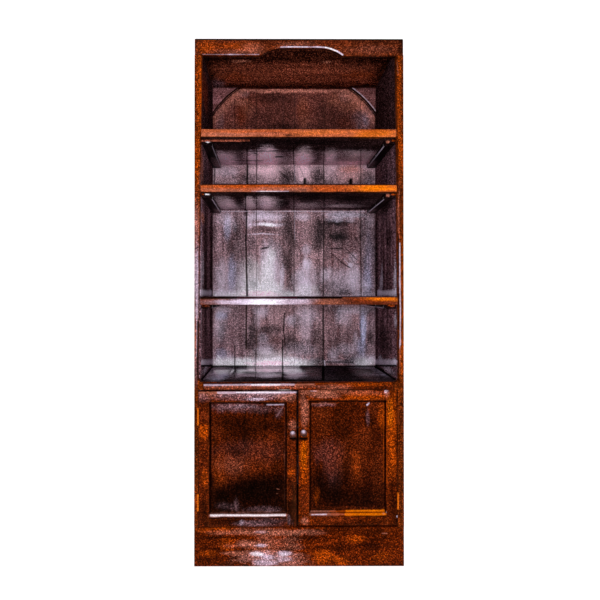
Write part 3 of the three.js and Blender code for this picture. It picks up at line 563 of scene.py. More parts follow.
# the rail's pale lines are a painted highlight on its rounded top, its dark lines painted shadow in the gaps
deckRailMarks = patches(frontY, 0.03, [
    ("rose", -152, 651, 306, 12, 0.6), ("soot", -126, 643, 168, 5, 0.4), ("russet", -152, 648, 306, 7, 0.4),
    ("amber", 241, 659, 182, 13, 0.5), ("soot", 86, 653, 47, 15, 0.3), ("soot", 274, 645, 135, 8, 0.5),
    ("rose", 125, 647, 81, 21, 0.4), ("rose", -355, 654, 23, 10, 0.6)])
deckRailLines = strokes(frontY, [
    ("rose", -90, 658, 52, 660, 5.3, 0.9), ("bloom", -366, 657, -193, 658, 5.3, 0.75),
    ("bloom", -193, 658, -19, 659, 6.2, 0.75), ("gleam", -172, 658, -70, 658, 4, 0.75),
    ("rose", 42, 661, 55, 661, 3.5, 0.9), ("amber", 63, 662, 358, 668, 3.5, 0.8),
    ("soot", -335, 638, -111, 637, 2.4, 0.5), ("soot", 63, 642, 358, 643, 2.4, 0.3),
    ("soot", -366, 664, 358, 667, 4.8, 0.95)])
finish("deck_rail", look(
    seed=7.0, runs="across", dark=(48, 14, 3), light=(103, 35, 8), warm=(112, 37, 5)),
    marks=deckRailMarks, lines=deckRailLines)

# shelves: orange front edges with painted highlights, and dark glossy undersides with a painted reflection of
# the back boards that is paler and streaked toward the back, and painted shade at the front and beside the
# cleats
shelves = {
    "upper": {
        "seed": 8.0, "front": (180, 92, 56), "below": (190, 146, 160), "ramp": (-0.03, 0.05), "low": 1.561,
        "edgeMarks": [
            ("rose", -266, 1568, 120, 12, 0.75), ("rose", -96, 1570, 138, 12, 0.65),
            ("amber", -195, 1580, 222, 5, 0.5), ("amber", -80, 1573, 102, 16, 0.3),
            ("flame", 279, 1571, 128, 26, 0.75), ("flame", 75, 1574, 164, 15, 0.3),
            ("amber", 267, 1582, 146, 11, 0.5), ("soot", -45, 1566, 22, 7, 0.8),
            ("rust", 276, 1570, 57, 21, 0.35)],
        "edgeLines": [
            ("soot", -353, 1560, 356, 1559, 3.6, 0.85), ("russet", -353, 1585, 356, 1585, 2.2, 0.4)],
        "underMarks": [
            ("glow", -307, 102, 61, 121, 0.8), ("soot", -232, 74, 36, 162, 0.8),
            ("glow", -183, 96, 24, 130, 0.8), ("blush", -121, 61, 56, 160, 1),
            ("glow", -119, 53, 53, 132, 1), ("soot", -44, 63, 47, 178, 0.6),
            ("blush", -40, 119, 46, 76, 0.7), ("blush", 31, 74, 48, 162, 1), ("glow", 36, 102, 46, 121, 0.9),
            ("soot", 91, 63, 39, 178, 0.8), ("glow", 150, 74, 36, 81, 0.9), ("blush", 164, 126, 46, 67, 0.8),
            ("blush", 221, 43, 68, 70, 0.8), ("glow", 251, 143, 62, 64, 0.7),
            ("soot", 232, 108, 73, 33, 0.6), ("blush", 300, 81, 27, 91, 0.8),
            ("glow", 308, 133, 28, 77, 0.4), ("soot", -9, -110, 514, 61, 1),
            ("glow", -132, 102, 110, 121, 0.35), ("blush", 243, 37, 100, 78, 0.35),
            ("glow", -303, 108, 73, 113, 0.35), ("soot", -45, 102, 52, 121, 0.5),
            ("soot", 148, 139, 78, 68, 0.3), ("soot", 199, 43, 53, 70, 0.35),
            ("glow", 35, 108, 55, 113, 0.45), ("glow", 233, 139, 150, 68, 0.4),
            ("glow", -130, 102, 113, 121, 0.3), ("glow", -274, 114, 55, 104, 0.35),
            ("blush", 142, 25, 41, 77, 0.35), ("glow", -102, 102, 73, 121, 0.4),
            ("glow", 36, 120, 62, 95, 0.35), ("soot", 193, 50, 68, 97, 0.45),
            ("glow", 151, 127, 28, 86, 0.4), ("glow", -289, 114, 28, 104, 0.3),
            ("soot", -140, -27, 31, 80, 0.45), ("glow", 246, 159, 69, 40, 0.35)],
        "underLines": [
            ("soot", -187, -4, -18, -4, 9.2, 0.7), ("soot", -253, 115, -141, 115, 10.6, 0.7),
            ("soot", -195, -51, -211, 187, 4.2, 0.9), ("soot", -158, -40, -167, 187, 3.8, 0.8),
            ("soot", -15, -62, -1, 187, 4.2, 0.8), ("soot", 105, -51, 134, 187, 3.8, 0.7),
            ("soot", 256, -17, 301, 187, 3.8, 0.6), ("soot", -171, 17, -158, 35, 6.5, 1),
            ("soot", -77, 64, -61, 64, 17.5, 1), ("soot", -348, -51, -330, 216, 6.8, 0.95),
            ("soot", 354, -62, 339, 216, 6.7, 0.95)]},
    "middle": {
        "seed": 9.0, "front": (170, 80, 40), "below": (100, 73, 81), "ramp": (-0.07, 0.02), "low": 1.36,
        "edgeMarks": [
            ("rose", -275, 1369, 118, 13, 0.6), ("bloom", -90, 1362, 117, 4, 0.6),
            ("rose", -85, 1368, 182, 10, 0.7), ("rose", 6, 1370, 66, 12, 0.5),
            ("flame", 279, 1375, 128, 24, 1), ("amber", 114, 1373, 109, 18, 0.6),
            ("amber", -199, 1384, 228, 5, 0.45), ("amber", -175, 1381, 255, 10, 0.7),
            ("rose", -120, 1361, 332, 8, 0.4), ("rose", 5, 1358, 60, 13, 0.8)],
        "edgeLines": [
            ("soot", -358, 1359, 356, 1359, 3.6, 0.85), ("bloom", -172, 1362, -39, 1362, 2.7, 0.6),
            ("gleam", -141, 1362, -80, 1362, 2.2, 0.5), ("rose", -244, 1362, -157, 1362, 2.7, 0.6),
            ("soot", -358, 1388, 356, 1387, 5.4, 0.95)],
        "underMarks": [
            ("glow", -297, 88, 54, 114, 0.6), ("blush", -294, 35, 58, 160, 0.7),
            ("blush", -230, 98, 128, 101, 0.5), ("soot", -229, 25, 30, 236, 0.9),
            ("blush", -185, 24, 28, 145, 1), ("blush", -128, 11, 43, 194, 0.85),
            ("glow", -123, 32, 35, 133, 0.8), ("blush", -90, 54, 47, 164, 0.7),
            ("soot", -130, -120, 45, 50, 0.6), ("soot", -52, 25, 61, 236, 0.95),
            ("soot", 47, -54, 80, 143, 1), ("blush", 58, 87, 85, 85, 0.4), ("soot", 198, -54, 130, 143, 1),
            ("blush", 215, 89, 121, 53, 0.7), ("soot", 229, 163, 126, 39, 0.8),
            ("soot", -9, -116, 512, 55, 1), ("soot", 92, 73, 81, 167, 0.5),
            ("soot", -152, -2, 71, 153, 0.45), ("soot", -309, 8, 37, 168, 0.35),
            ("soot", 276, 68, 184, 207, 0.5), ("soot", -134, 6, 40, 142, 0.3),
            ("soot", 315, 68, 128, 207, 0.5)],
        "underLines": [
            ("soot", -196, -140, -217, 190, 4.1, 0.9), ("soot", -155, -140, -168, 190, 3.3, 0.7),
            ("soot", -18, -140, 0, 190, 3.7, 0.8), ("soot", 94, -140, 136, 190, 3.7, 0.8),
            ("blush", -197, -35, -59, -27, 8.6, 0.2), ("soot", -329, -125, -327, 190, 5.7, 0.95),
            ("soot", 325, -125, 333, 190, 5.7, 0.95)]},
    "lower": {
        "seed": 10.0, "front": (103, 50, 33), "below": (138, 116, 129), "ramp": (-0.1, -0.02), "low": 0.949,
        "edgeMarks": [
            ("mauve", -315, 961, 73, 16, 0.9), ("bloom", -154, 959, 208, 24, 1),
            ("bloom", -14, 959, 109, 24, 0.7), ("haze", -119, 959, 157, 24, 0.8),
            ("gleam", -116, 959, 95, 28, 0.7), ("rose", 116, 958, 91, 18, 0.7),
            ("rust", 267, 960, 146, 26, 0.8), ("amber", 241, 968, 73, 10, 0.4),
            ("flame", 302, 972, 95, 9, 0.9), ("soot", 269, 949, 128, 9, 0.6),
            ("brown", -343, 974, 33, 7, 0.4), ("amber", -349, 949, 16, 6, 0.9),
            ("soot", 132, 963, 112, 16, 0.4), ("soot", 274, 951, 91, 13, 0.35),
            ("soot", -35, 972, 91, 8, 0.6), ("mauve", -40, 960, 78, 16, 0.3), ("rust", 274, 960, 86, 21, 0.4)],
        "edgeLines": [
            ("soot", -358, 974, 154, 974, 6, 1), ("wine", -223, 974, -9, 974, 4, 0.8),
            ("soot", -358, 948, 356, 948, 3, 0.8)],
        "underMarks": [], "underLines": []},
}
# the lower shelf's top gets a painted highlight where it is seen over the front edge
shelfTopHighlight = ("white", (-0.147, 0.02, 0.977), (0.13, 0.2, 0.008), 1.0)
for level, values in shelves.items():
    low = values["low"]
    marks = patches(frontY, 0.02, values["edgeMarks"]) + patches(low, 0.03, values["underMarks"], level=True)
    lines = strokes(frontY, values["edgeLines"]) + strokes(low, values["underLines"], level=True)
    # a painted shadow under each shelf's front edge
    lines.append(("soot", (-0.36, -0.148, low), (0.36, -0.148, low), 0.007, 1.0))
    if level == "lower":
        marks.append(shelfTopHighlight)
    finish("shelf_" + level, look(
        seed=values["seed"], runs="across", dark=(20, 10, 11), light=(48, 29, 31), warm=(40, 20, 20),
        gloss=(255, 220, 200), rough=0.27, wearTone=(175, 101, 55), speckle=6.0, level=0.0, coat=0.4,
        coatRough=0.12, glint=(52, 34, 38), calm=("Y", -0.148, -0.152, 0.5), coatFrom=("Y", -0.148, -0.13)),
        # the underside's tone toward the back is a painted reflection of the back boards
        zones=[(values["below"], "Y", *values["ramp"], 0.95), (values["front"], "Y", -0.15, -0.1545, 0.92)],
        marks=marks, lines=lines)

# cleats under the shelves, nearly black as painted shade, with painted highlights at their front ends and along
# their lower inner edges, and the inside of the cabinet
cleatMarks = patches(-0.131, 0.006, [
    ("gleam", -335, 1552, 14, 5, 1), ("rose", 331, 1553, 11, 11, 1), ("amber", 352, 1557, 12, 6, 0.9),
    ("gleam", -338, 1357, 13, 5, 1), ("amber", -357, 1357, 10, 5, 1), ("rose", 331, 1354, 11, 9, 0.9),
    ("amber", 352, 1357, 12, 5, 0.9), ("rust", -345, 944, 20, 6, 0.9), ("amber", 343, 945, 20, 5, 0.8)])
cleatMarks.append(("mauve", (-0.333, 0.1, 1.5457), (0.03, 0.1, 0.01), 0.8))
cleatLines = []
cleatFaces, cleatFeet = (-0.3245, 0.3245), (1.5457, 1.3447, 0.9337)
for side in cleatFaces:
    for low in cleatFeet:
        cleatLines += [("bloom", (side, -0.1, low), (side, 0.168, low), 0.0032, 0.9),
                       ("mauve", (side * 1.108, -0.12, low), (side * 1.108, 0.0, low), 0.0018, 0.8)]
        cleatMarks.append(("mauve", (side * 1.03, 0.12, low), (0.02, 0.07, 0.01), 0.6))
finish("cleat", look(
    seed=11.0, runs="deep", dark=(7, 3, 4), light=(24, 13, 16), warm=(18, 7, 6), wear=0.0, stray=0.004,
    ragged=1.0, glint=(44, 28, 30)), marks=cleatMarks, lines=cleatLines)
finish("cabinet", look(
    seed=12.0, runs="across", dark=(55, 29, 18), light=(96, 57, 37), warm=(88, 48, 28), rough=0.6, speckle=2.0))

# back boards from left to right by their dark and light tones, whose mauve grey is partly a painted reflection
# of cool light in the varnish, and the corner fillets in the top bay; a bow is the curve of a fillet's edge, by
# its centre and the direction of its middle
backBoards = [
    ((98, 70, 79), (178, 145, 156)), ((98, 70, 79), (178, 145, 156)), ((99, 72, 79), (182, 147, 156)),
    ((103, 75, 83), (186, 151, 160)), ((94, 64, 70), (173, 138, 147)), ((92, 68, 79), (173, 144, 156)),
]
# flush is the share of a pink band of painted light on the board inside a fillet's curve, rim that of a painted
# highlight along a fillet's edge
fillets = {
    "left": {"bow": ((-0.0282, 0.0, 1.5672), (-0.7071, 0.0, 0.7071)), "dark": (92, 52, 53),
             "light": (150, 99, 105), "flush": 0.12, "rim": 0.0},
    "right": {"bow": ((0.0282, 0.0, 1.5672), (0.7071, 0.0, 0.7071)), "dark": (72, 37, 37),
              "light": (140, 88, 90), "flush": 0.25, "rim": 0.5},
}
# pale and white patches on the back boards are painted reflections of the lamp; dark ones are painted shade
# under the shelves and in the top bay, and darker streaks
backMarks = patches(0.172, 0.2, [
    ("rust", -232, 1786, 45, 102, 0.85), ("rose", -219, 1843, 19, 11, 0.8),
    ("mauve", -333, 1764, 29, 71, 0.5), ("pink", -307, 1880, 71, 31, 0.5), ("pink", -235, 1836, 40, 22, 0.5),
    ("rose", 43, 1821, 36, 62, 0.5), ("rose", -207, 1817, 45, 58, 0.35), ("rust", -185, 1849, 102, 49, 0.35),
    ("soot", -54, 1811, 102, 67, 0.35), ("soot", 198, 1758, 89, 53, 0.35), ("soot", 46, 1729, 441, 24, 0.6),
    ("mauve", -225, 1877, 36, 27, 0.6), ("soot", -98, 1861, 138, 36, 0.7), ("rust", 41, 1802, 56, 80, 0.6),
    ("soot", -154, 1764, 58, 71, 0.35), ("mauve", 311, 1771, 62, 80, 0.75),
    ("bluish", 326, 1771, 31, 45, 0.18), ("pink", -32, 1891, 436, 12, 0.85),
    ("soot", 155, 1817, 98, 76, 0.5), ("mauve", 236, 1864, 53, 36, 0.6), ("rose", 49, 1761, 36, 58, 0.3),
    ("soot", -45, 1740, 80, 36, 0.5), ("rust", 223, 1746, 53, 45, 0.35), ("blush", -316, 1520, 63, 51, 0.3),
    ("blush", -113, 1529, 45, 45, 0.6), ("blush", 47, 1535, 48, 36, 0.5), ("soot", -37, 1500, 56, 49, 0.4),
    ("soot", 105, 1507, 45, 58, 0.4), ("soot", 311, 1505, 62, 47, 0.65), ("mauve", -308, 1518, 65, 60, 0.5),
    ("rust", -238, 1519, 36, 57, 0.45), ("soot", -218, 1504, 16, 36, 0.5),
    ("blush", -130, 1519, 105, 58, 0.45), ("blush", -98, 1544, 49, 22, 0.5),
    ("soot", -31, 1511, 47, 51, 0.65), ("blush", 40, 1518, 49, 65, 0.75), ("soot", 107, 1511, 42, 60, 0.75),
    ("blush", 164, 1544, 40, 22, 0.6), ("pink", 241, 1516, 78, 62, 0.35), ("mauve", 241, 1516, 78, 62, 0.4),
    ("soot", 248, 1488, 36, 22, 0.35), ("bluish", 325, 1516, 42, 62, 0.2),
    ("haze", -132, 1330, 116, 33, 0.9), ("haze", -199, 1310, 24, 45, 0.5),
    ("haze", -129, 1295, 111, 13, 0.85), ("white", -119, 1294, 53, 11, 1),
    ("soot", -247, 1284, 40, 82, 0.65), ("soot", -132, 1270, 107, 13, 0.6),
    ("haze", -141, 1252, 94, 5, 0.75), ("haze", 223, 1340, 125, 18, 0.9), ("soot", -24, 1284, 38, 82, 0.65),
    ("soot", 189, 1304, 129, 27, 1), ("soot", 161, 1272, 89, 64, 0.6), ("soot", 108, 1284, 31, 82, 0.5),
    ("soot", 195, 1247, 49, 29, 0.75), ("bluish", -294, 1284, 27, 82, 0.6),
    ("haze", -313, 1317, 53, 45, 0.3), ("soot", 298, 1284, 18, 82, 0.5), ("haze", 336, 1313, 27, 49, 0.25),
    ("haze", 40, 1329, 49, 27, 0.45), ("rust", 261, 1256, 36, 42, 0.3), ("soot", -260, 1196, 67, 129, 0.6),
    ("bluish", -277, 1062, 29, 125, 0.65), ("haze", -235, 1043, 31, 53, 0.6),
    ("soot", -185, 1212, 27, 53, 0.5), ("haze", -183, 1025, 29, 71, 0.6), ("soot", -232, 1140, 27, 67, 0.35),
    ("haze", -107, 1090, 71, 174, 0.8), ("white", -102, 1160, 29, 51, 0.6),
    ("white", -118, 1065, 42, 129, 0.8), ("haze", -116, 995, 120, 42, 0.9),
    ("white", -113, 987, 116, 31, 0.9), ("haze", -278, 987, 111, 31, 0.85), ("haze", 49, 984, 116, 27, 0.6),
    ("haze", 308, 987, 76, 22, 0.6), ("soot", -32, 1137, 45, 71, 0.8), ("soot", -20, 1046, 27, 85, 0.65),
    ("haze", -55, 1059, 12, 85, 0.7), ("soot", -185, 1018, 22, 27, 0.5), ("haze", 54, 1184, 33, 40, 0.45),
    ("haze", 55, 1118, 31, 53, 0.9), ("haze", 49, 1012, 53, 62, 0.85), ("haze", 38, 1071, 51, 40, 0.5),
    ("soot", 105, 1199, 40, 45, 0.6), ("soot", 108, 1056, 31, 98, 0.4), ("haze", 214, 1034, 111, 94, 0.5),
    ("soot", 192, 1237, 71, 18, 0.85), ("soot", 236, 991, 62, 20, 0.65), ("soot", -282, 1202, 36, 49, 0.35),
    ("soot", 111, 1240, 36, 40, 0.35), ("bluish", 331, 1109, 33, 200, 0.3), ("haze", -316, 987, 58, 27, 0.7),
    ("haze", 253, 1113, 16, 20, 0.9), ("haze", 264, 1149, 31, 36, 0.35), ("soot", 152, 1168, 22, 62, 0.35),
    ("haze", 267, 1025, 27, 53, 0.35), ("bluish", -321, 890, 33, 31, 0.7), ("soot", -319, 811, 36, 73, 0.5),
    ("soot", -183, 839, 29, 113, 0.7), ("soot", -250, 842, 53, 118, 0.3), ("soot", -104, 831, 85, 27, 0.65),
    ("haze", -310, 915, 40, 22, 0.4), ("haze", -148, 913, 49, 28, 0.4), ("haze", -138, 900, 36, 36, 0.3),
    ("haze", -13, 866, 36, 40, 0.55), ("soot", -13, 793, 36, 46, 0.4), ("rust", -76, 780, 53, 29, 0.4),
    ("haze", -138, 786, 36, 37, 0.5), ("haze", 52, 842, 49, 118, 0.3), ("soot", 108, 805, 31, 64, 0.5),
    ("soot", 186, 897, 53, 49, 0.6), ("soot", 248, 800, 143, 71, 0.4), ("bluish", 308, 839, 23, 113, 0.8),
    ("soot", 341, 789, 24, 42, 0.85), ("haze", -307, 687, 80, 38, 0.85), ("white", -339, 686, 29, 31, 0.5),
    ("haze", -88, 686, 267, 31, 0.8), ("white", -132, 672, 205, 24, 1), ("white", -32, 678, 187, 33, 0.9),
    ("white", -250, 678, 160, 33, 0.9), ("white", -107, 669, 205, 29, 1), ("bluish", -322, 720, 49, 36, 0.4),
    ("haze", -129, 733, 58, 45, 0.65), ("soot", -199, 757, 42, 36, 0.65), ("soot", 114, 686, 31, 31, 0.75),
    ("haze", 202, 686, 94, 13, 0.35), ("haze", 301, 692, 85, 40, 0.9), ("white", 308, 683, 67, 27, 0.8),
    ("haze", 30, 739, 98, 45, 0.4), ("soot", 164, 711, 40, 22, 0.4), ("soot", 86, 683, 45, 27, 0.55),
    ("soot", 264, 717, 120, 40, 0.4), ("soot", -163, 807, 125, 62, 0.4), ("soot", 117, 726, 27, 62, 0.4),
    ("soot", 320, 754, 49, 40, 0.3), ("haze", 230, 742, 53, 40, 0.35), ("soot", -32, 1260, 45, 111, 0.45),
    ("soot", 120, 1240, 70, 95, 0.55), ("soot", 220, 1231, 54, 70, 0.4), ("soot", 323, 1220, 49, 168, 0.5),
    ("haze", -244, 1056, 45, 98, 0.35), ("haze", -135, 1003, 120, 40, 0.7),
    ("white", -191, 1065, 76, 120, 0.5), ("white", -126, 982, 321, 20, 0.9),
    ("white", -132, 1006, 116, 53, 0.8), ("haze", 30, 1028, 62, 85, 0.4), ("haze", 267, 1056, 45, 98, 0.6),
    ("haze", -322, 1062, 40, 107, 0.5), ("bluish", 328, 1043, 38, 80, 0.35),
    ("soot", 310, 1124, 21, 45, 0.35), ("soot", -350, 1249, 18, 53, 0.4), ("soot", -10, 1233, 31, 76, 0.4),
    ("soot", -76, 1168, 53, 27, 0.25), ("haze", 142, 1074, 36, 45, 0.5), ("soot", 30, 1068, 27, 36, 0.3),
    ("haze", -327, 850, 38, 107, 0.35), ("haze", 270, 915, 111, 22, 0.4), ("soot", -79, 1205, 58, 45, 0.35),
    ("bluish", 298, 756, 36, 62, 0.5), ("haze", 177, 719, 31, 45, 0.4), ("haze", 62, 1051, 70, 105, 0.4),
    ("soot", -107, 781, 191, 62, 0.35), ("soot", 43, 750, 125, 53, 0.5), ("soot", 195, 753, 85, 49, 0.4),
    ("soot", -13, 766, 71, 49, 0.35), ("soot", 104, 805, 48, 64, 0.4), ("soot", 2, 1480, 503, 13, 0.5),
    ("haze", 223, 1335, 125, 18, 0.4), ("soot", 323, 1287, 53, 86, 0.35), ("soot", 223, 1272, 89, 64, 0.3),
    ("soot", -29, 1278, 49, 73, 0.3), ("soot", -91, 1764, 147, 71, 0.35), ("soot", 183, 1771, 245, 80, 0.35),
    ("soot", 109, 1271, 79, 114, 0.5), ("white", -111, 702, 146, 51, 0.45),
    ("blush", -134, 1536, 114, 29, 0.4), ("pink", 280, 1522, 121, 48, 0.5),
    ("haze", -302, 1531, 89, 35, 0.3), ("soot", 180, 1007, 130, 48, 0.45), ("soot", 180, 920, 130, 19, 0.4),
    ("white", -154, 1016, 136, 60, 0.5), ("soot", -180, 1504, 175, 35, 0.3),
    ("soot", -34, 1516, 73, 57, 0.45), ("soot", 322, 1502, 60, 38, 0.4), ("soot", 237, 1218, 105, 76, 0.45),
    ("soot", 324, 993, 57, 35, 0.4), ("rose", 235, 1849, 133, 63, 0.5), ("white", 53, 1005, 76, 38, 0.4),
    ("soot", 357, 1178, 22, 184, 0.55), ("soot", 153, 1520, 79, 51, 0.4), ("haze", -287, 1309, 48, 67, 0.35),
    ("soot", -7, 1211, 41, 67, 0.4), ("haze", -316, 1016, 51, 60, 0.35), ("soot", -311, 856, 32, 73, 0.25),
    ("rose", -305, 1891, 67, 41, 0.4), ("soot", 6, 858, 35, 51, 0.35), ("soot", 249, 689, 44, 32, 0.4),
    ("haze", 273, 767, 22, 73, 0.3), ("soot", -205, 780, 44, 41, 0.4), ("soot", -359, 1262, 14, 114, 0.5),
    ("soot", -194, 1109, 22, 48, 0.35), ("haze", -162, 885, 22, 76, 0.3), ("haze", 311, 1022, 38, 38, 0.35),
    ("soot", -114, 829, 35, 54, 0.3), ("haze", 60, 891, 79, 60, 0.35), ("blush", 264, 1522, 187, 48, 0.3),
    ("soot", 257, 1340, 152, 16, 0.4), ("blush", -131, 1527, 117, 35, 0.3),
    ("white", -111, 685, 146, 32, 0.5), ("soot", -185, 727, 60, 29, 0.4), ("soot", -91, 740, 41, 29, 0.35),
    ("white", -151, 990, 133, 33, 0.9), ("blush", 42, 1542, 67, 19, 0.4), ("soot", 277, 685, 79, 32, 0.45),
    ("soot", 324, 1500, 57, 41, 0.3), ("soot", -254, 1060, 32, 98, 0.3), ("rose", 282, 1851, 67, 67, 0.5),
    ("rose", -305, 1893, 67, 38, 0.4), ("soot", 153, 1498, 79, 32, 0.35), ("soot", 24, 862, 60, 51, 0.3),
    ("haze", 253, 1316, 32, 19, 0.3), ("haze", 217, 887, 51, 60, 0.35), ("soot", -14, 1493, 44, 32, 0.4),
    ("soot", -311, 1267, 38, 57, 0.3), ("white", -111, 680, 146, 25, 0.5), ("soot", 191, 1320, 51, 44, 0.3),
    ("soot", -205, 1500, 127, 35, 0.35), ("soot", 333, 1511, 51, 51, 0.4), ("soot", 326, 911, 54, 32, 0.5),
    ("blush", 157, 1522, 29, 48, 0.4), ("soot", 240, 1838, 44, 35, 0.45), ("soot", -182, 1025, 25, 35, 0.4),
    ("soot", -51, 991, 60, 32, 0.25), ("pink", 249, 1540, 70, 22, 0.5), ("glow", -111, 678, 133, 16, 0.6),
    ("glow", -147, 985, 127, 22, 0.5), ("soot", -145, 709, 86, 16, 0.3), ("haze", 180, 1320, 67, 19, 0.35)])
# upright dark lines are cracks and joints between the boards; level dark lines are painted shadow at the
# shelves and deck, and pale lines painted highlights
backLines = strokes(0.172, [
    ("soot", -264, 1852, -264, 1721, 4.4, 0.6), ("soot", -203, 1883, -206, 1721, 3.7, 0.4),
    ("soot", 4, 1883, 4, 1721, 3.7, 0.4), ("soot", -207, 1563, -213, 1227, 6.6, 0.95),
    ("soot", -166, 1563, -168, 1285, 4.4, 0.75), ("soot", 1, 1563, 1, 1227, 3.7, 0.55),
    ("soot", 133, 1563, 132, 1227, 4.4, 0.7), ("soot", 297, 1563, 295, 1227, 4.4, 0.5),
    ("haze", 3, 1560, 3, 1227, 2.2, 0.3), ("soot", 253, 1494, 253, 1477, 12.5, 1),
    ("soot", 48, 1497, 48, 1479, 11, 1), ("soot", -350, 1474, 354, 1474, 5.9, 0.8),
    ("haze", -322, 1354, 314, 1354, 3.3, 0.6), ("soot", -356, 1472, -351, 1566, 5.1, 0.8),
    ("soot", -63, 1529, -26, 1497, 6.6, 0.6), ("soot", 24, 1553, 43, 1510, 3.7, 0.4),
    ("white", -126, 1293, -110, 1293, 7.6, 1), ("soot", -215, 1249, -208, 975, 6.6, 0.95),
    ("soot", 0, 1249, 0, 975, 4.4, 0.6), ("soot", 133, 1249, 130, 975, 5.1, 0.75),
    ("soot", 297, 1249, 299, 975, 4.4, 0.6), ("soot", -141, 1188, -123, 1192, 6.6, 0.9),
    ("soot", -123, 1192, -113, 1194, 4.4, 0.7), ("soot", 161, 1189, 214, 1188, 5.1, 0.8),
    ("soot", 167, 1167, 211, 1127, 5.1, 0.7), ("soot", 211, 1127, 248, 1104, 5.1, 0.8),
    ("soot", 230, 1188, 261, 1159, 4.4, 0.7), ("soot", 261, 1159, 280, 1138, 4.4, 0.7),
    ("soot", 236, 1174, 273, 1118, 3.7, 0.5), ("soot", 273, 1237, 289, 1212, 4.4, 0.5),
    ("soot", 74, 1205, 124, 1193, 4.4, 0.5), ("haze", 223, 1143, 255, 1107, 3.3, 0.5),
    ("soot", -82, 1180, -70, 1131, 3.7, 0.5), ("haze", -319, 1000, -344, 975, 3.3, 0.5),
    ("haze", -241, 1043, -219, 1017, 3.3, 0.6), ("haze", -63, 1093, -51, 1062, 3.8, 0.6),
    ("soot", -212, 934, -213, 760, 5.9, 0.9), ("soot", -164, 934, -163, 760, 2.9, 0.4),
    ("soot", -43, 900, -47, 825, 5.9, 0.9), ("soot", -47, 825, -38, 760, 4.4, 0.7),
    ("soot", -1, 934, 1, 813, 3.7, 0.4), ("soot", 130, 937, 130, 760, 5.9, 0.85),
    ("soot", 297, 934, 298, 760, 2.9, 0.4), ("haze", -310, 900, -328, 869, 3.3, 0.5),
    ("haze", 322, 900, 302, 813, 3.3, 0.5), ("soot", -212, 782, -212, 745, 5.1, 0.7),
    ("soot", -263, 757, -264, 667, 5.1, 0.8), ("soot", -171, 733, -173, 667, 4.4, 0.7),
    ("soot", -52, 782, -51, 667, 5.1, 0.9), ("soot", 130, 782, 129, 667, 5.1, 0.8),
    ("white", -340, 713, -322, 692, 3.3, 0.9), ("white", -322, 692, -295, 669, 3.3, 0.9),
    ("white", -244, 695, -188, 683, 3.3, 0.8), ("white", -132, 695, -88, 689, 3.3, 0.8),
    ("soot", -425, 666, -213, 666, 5.9, 0.9), ("soot", -213, 666, 30, 666, 4.4, 0.55),
    ("soot", 30, 666, 361, 666, 6.6, 0.9), ("soot", 145, 684, 261, 683, 6.6, 0.8),
    ("haze", 135, 689, 137, 670, 4.3, 0.8), ("soot", 198, 689, 255, 692, 3.7, 0.6),
    ("haze", -26, 723, -1, 726, 2.7, 0.4)])
# the blush zone brightens the upper back as painted light, the brown zone darkens the top bay as painted shade
backZones = [("blush", "Z", 1.37, 1.40, 0.25), ((98, 43, 28), "Z", 1.563, 1.586, 0.94)]
# around each fillet the board gets pink bands of painted light and a dark ring of painted shadow at its edge
backBows = []
for values in fillets.values():
    backBows += [("pink", *values["bow"], 0.379, 0.019, 0.4), ("soot", *values["bow"], 0.3955, 0.003, 1.0),
                 ("pink", *values["bow"], 0.366, 0.02, values["flush"])]
for count, (dark, light) in enumerate(backBoards):
    finish(f"back_board_{count + 1}", look(
        seed=13.0 + count, dark=dark, light=light, warm=(129, 85, 86), gloss=(255, 250, 255), level=0.04,
        rough=0.4, speckle=4.2, ragged=0.9, glint=(40, 30, 34), wear=0.0,
        plain=("Y", 0.176, 0.178, (58, 36, 24), (112, 78, 56))),
        zones=backZones, marks=backMarks, lines=backLines, bows=backBows)
for hand, values in fillets.items():
    finish("spandrel_" + hand, look(
        seed=20.0, runs="across", dark=values["dark"], light=values["light"], warm=(116, 74, 72), wear=0.0,
        speckle=3.4, level=0.1),
        # each fillet's edge gets a painted shadow, and a pale rim of painted highlight where rim is set
        bows=[("soot", *values["bow"], 0.3985, 0.0032, 1.0),
              ("haze", *values["bow"], 0.404, 0.003, values["rim"])])

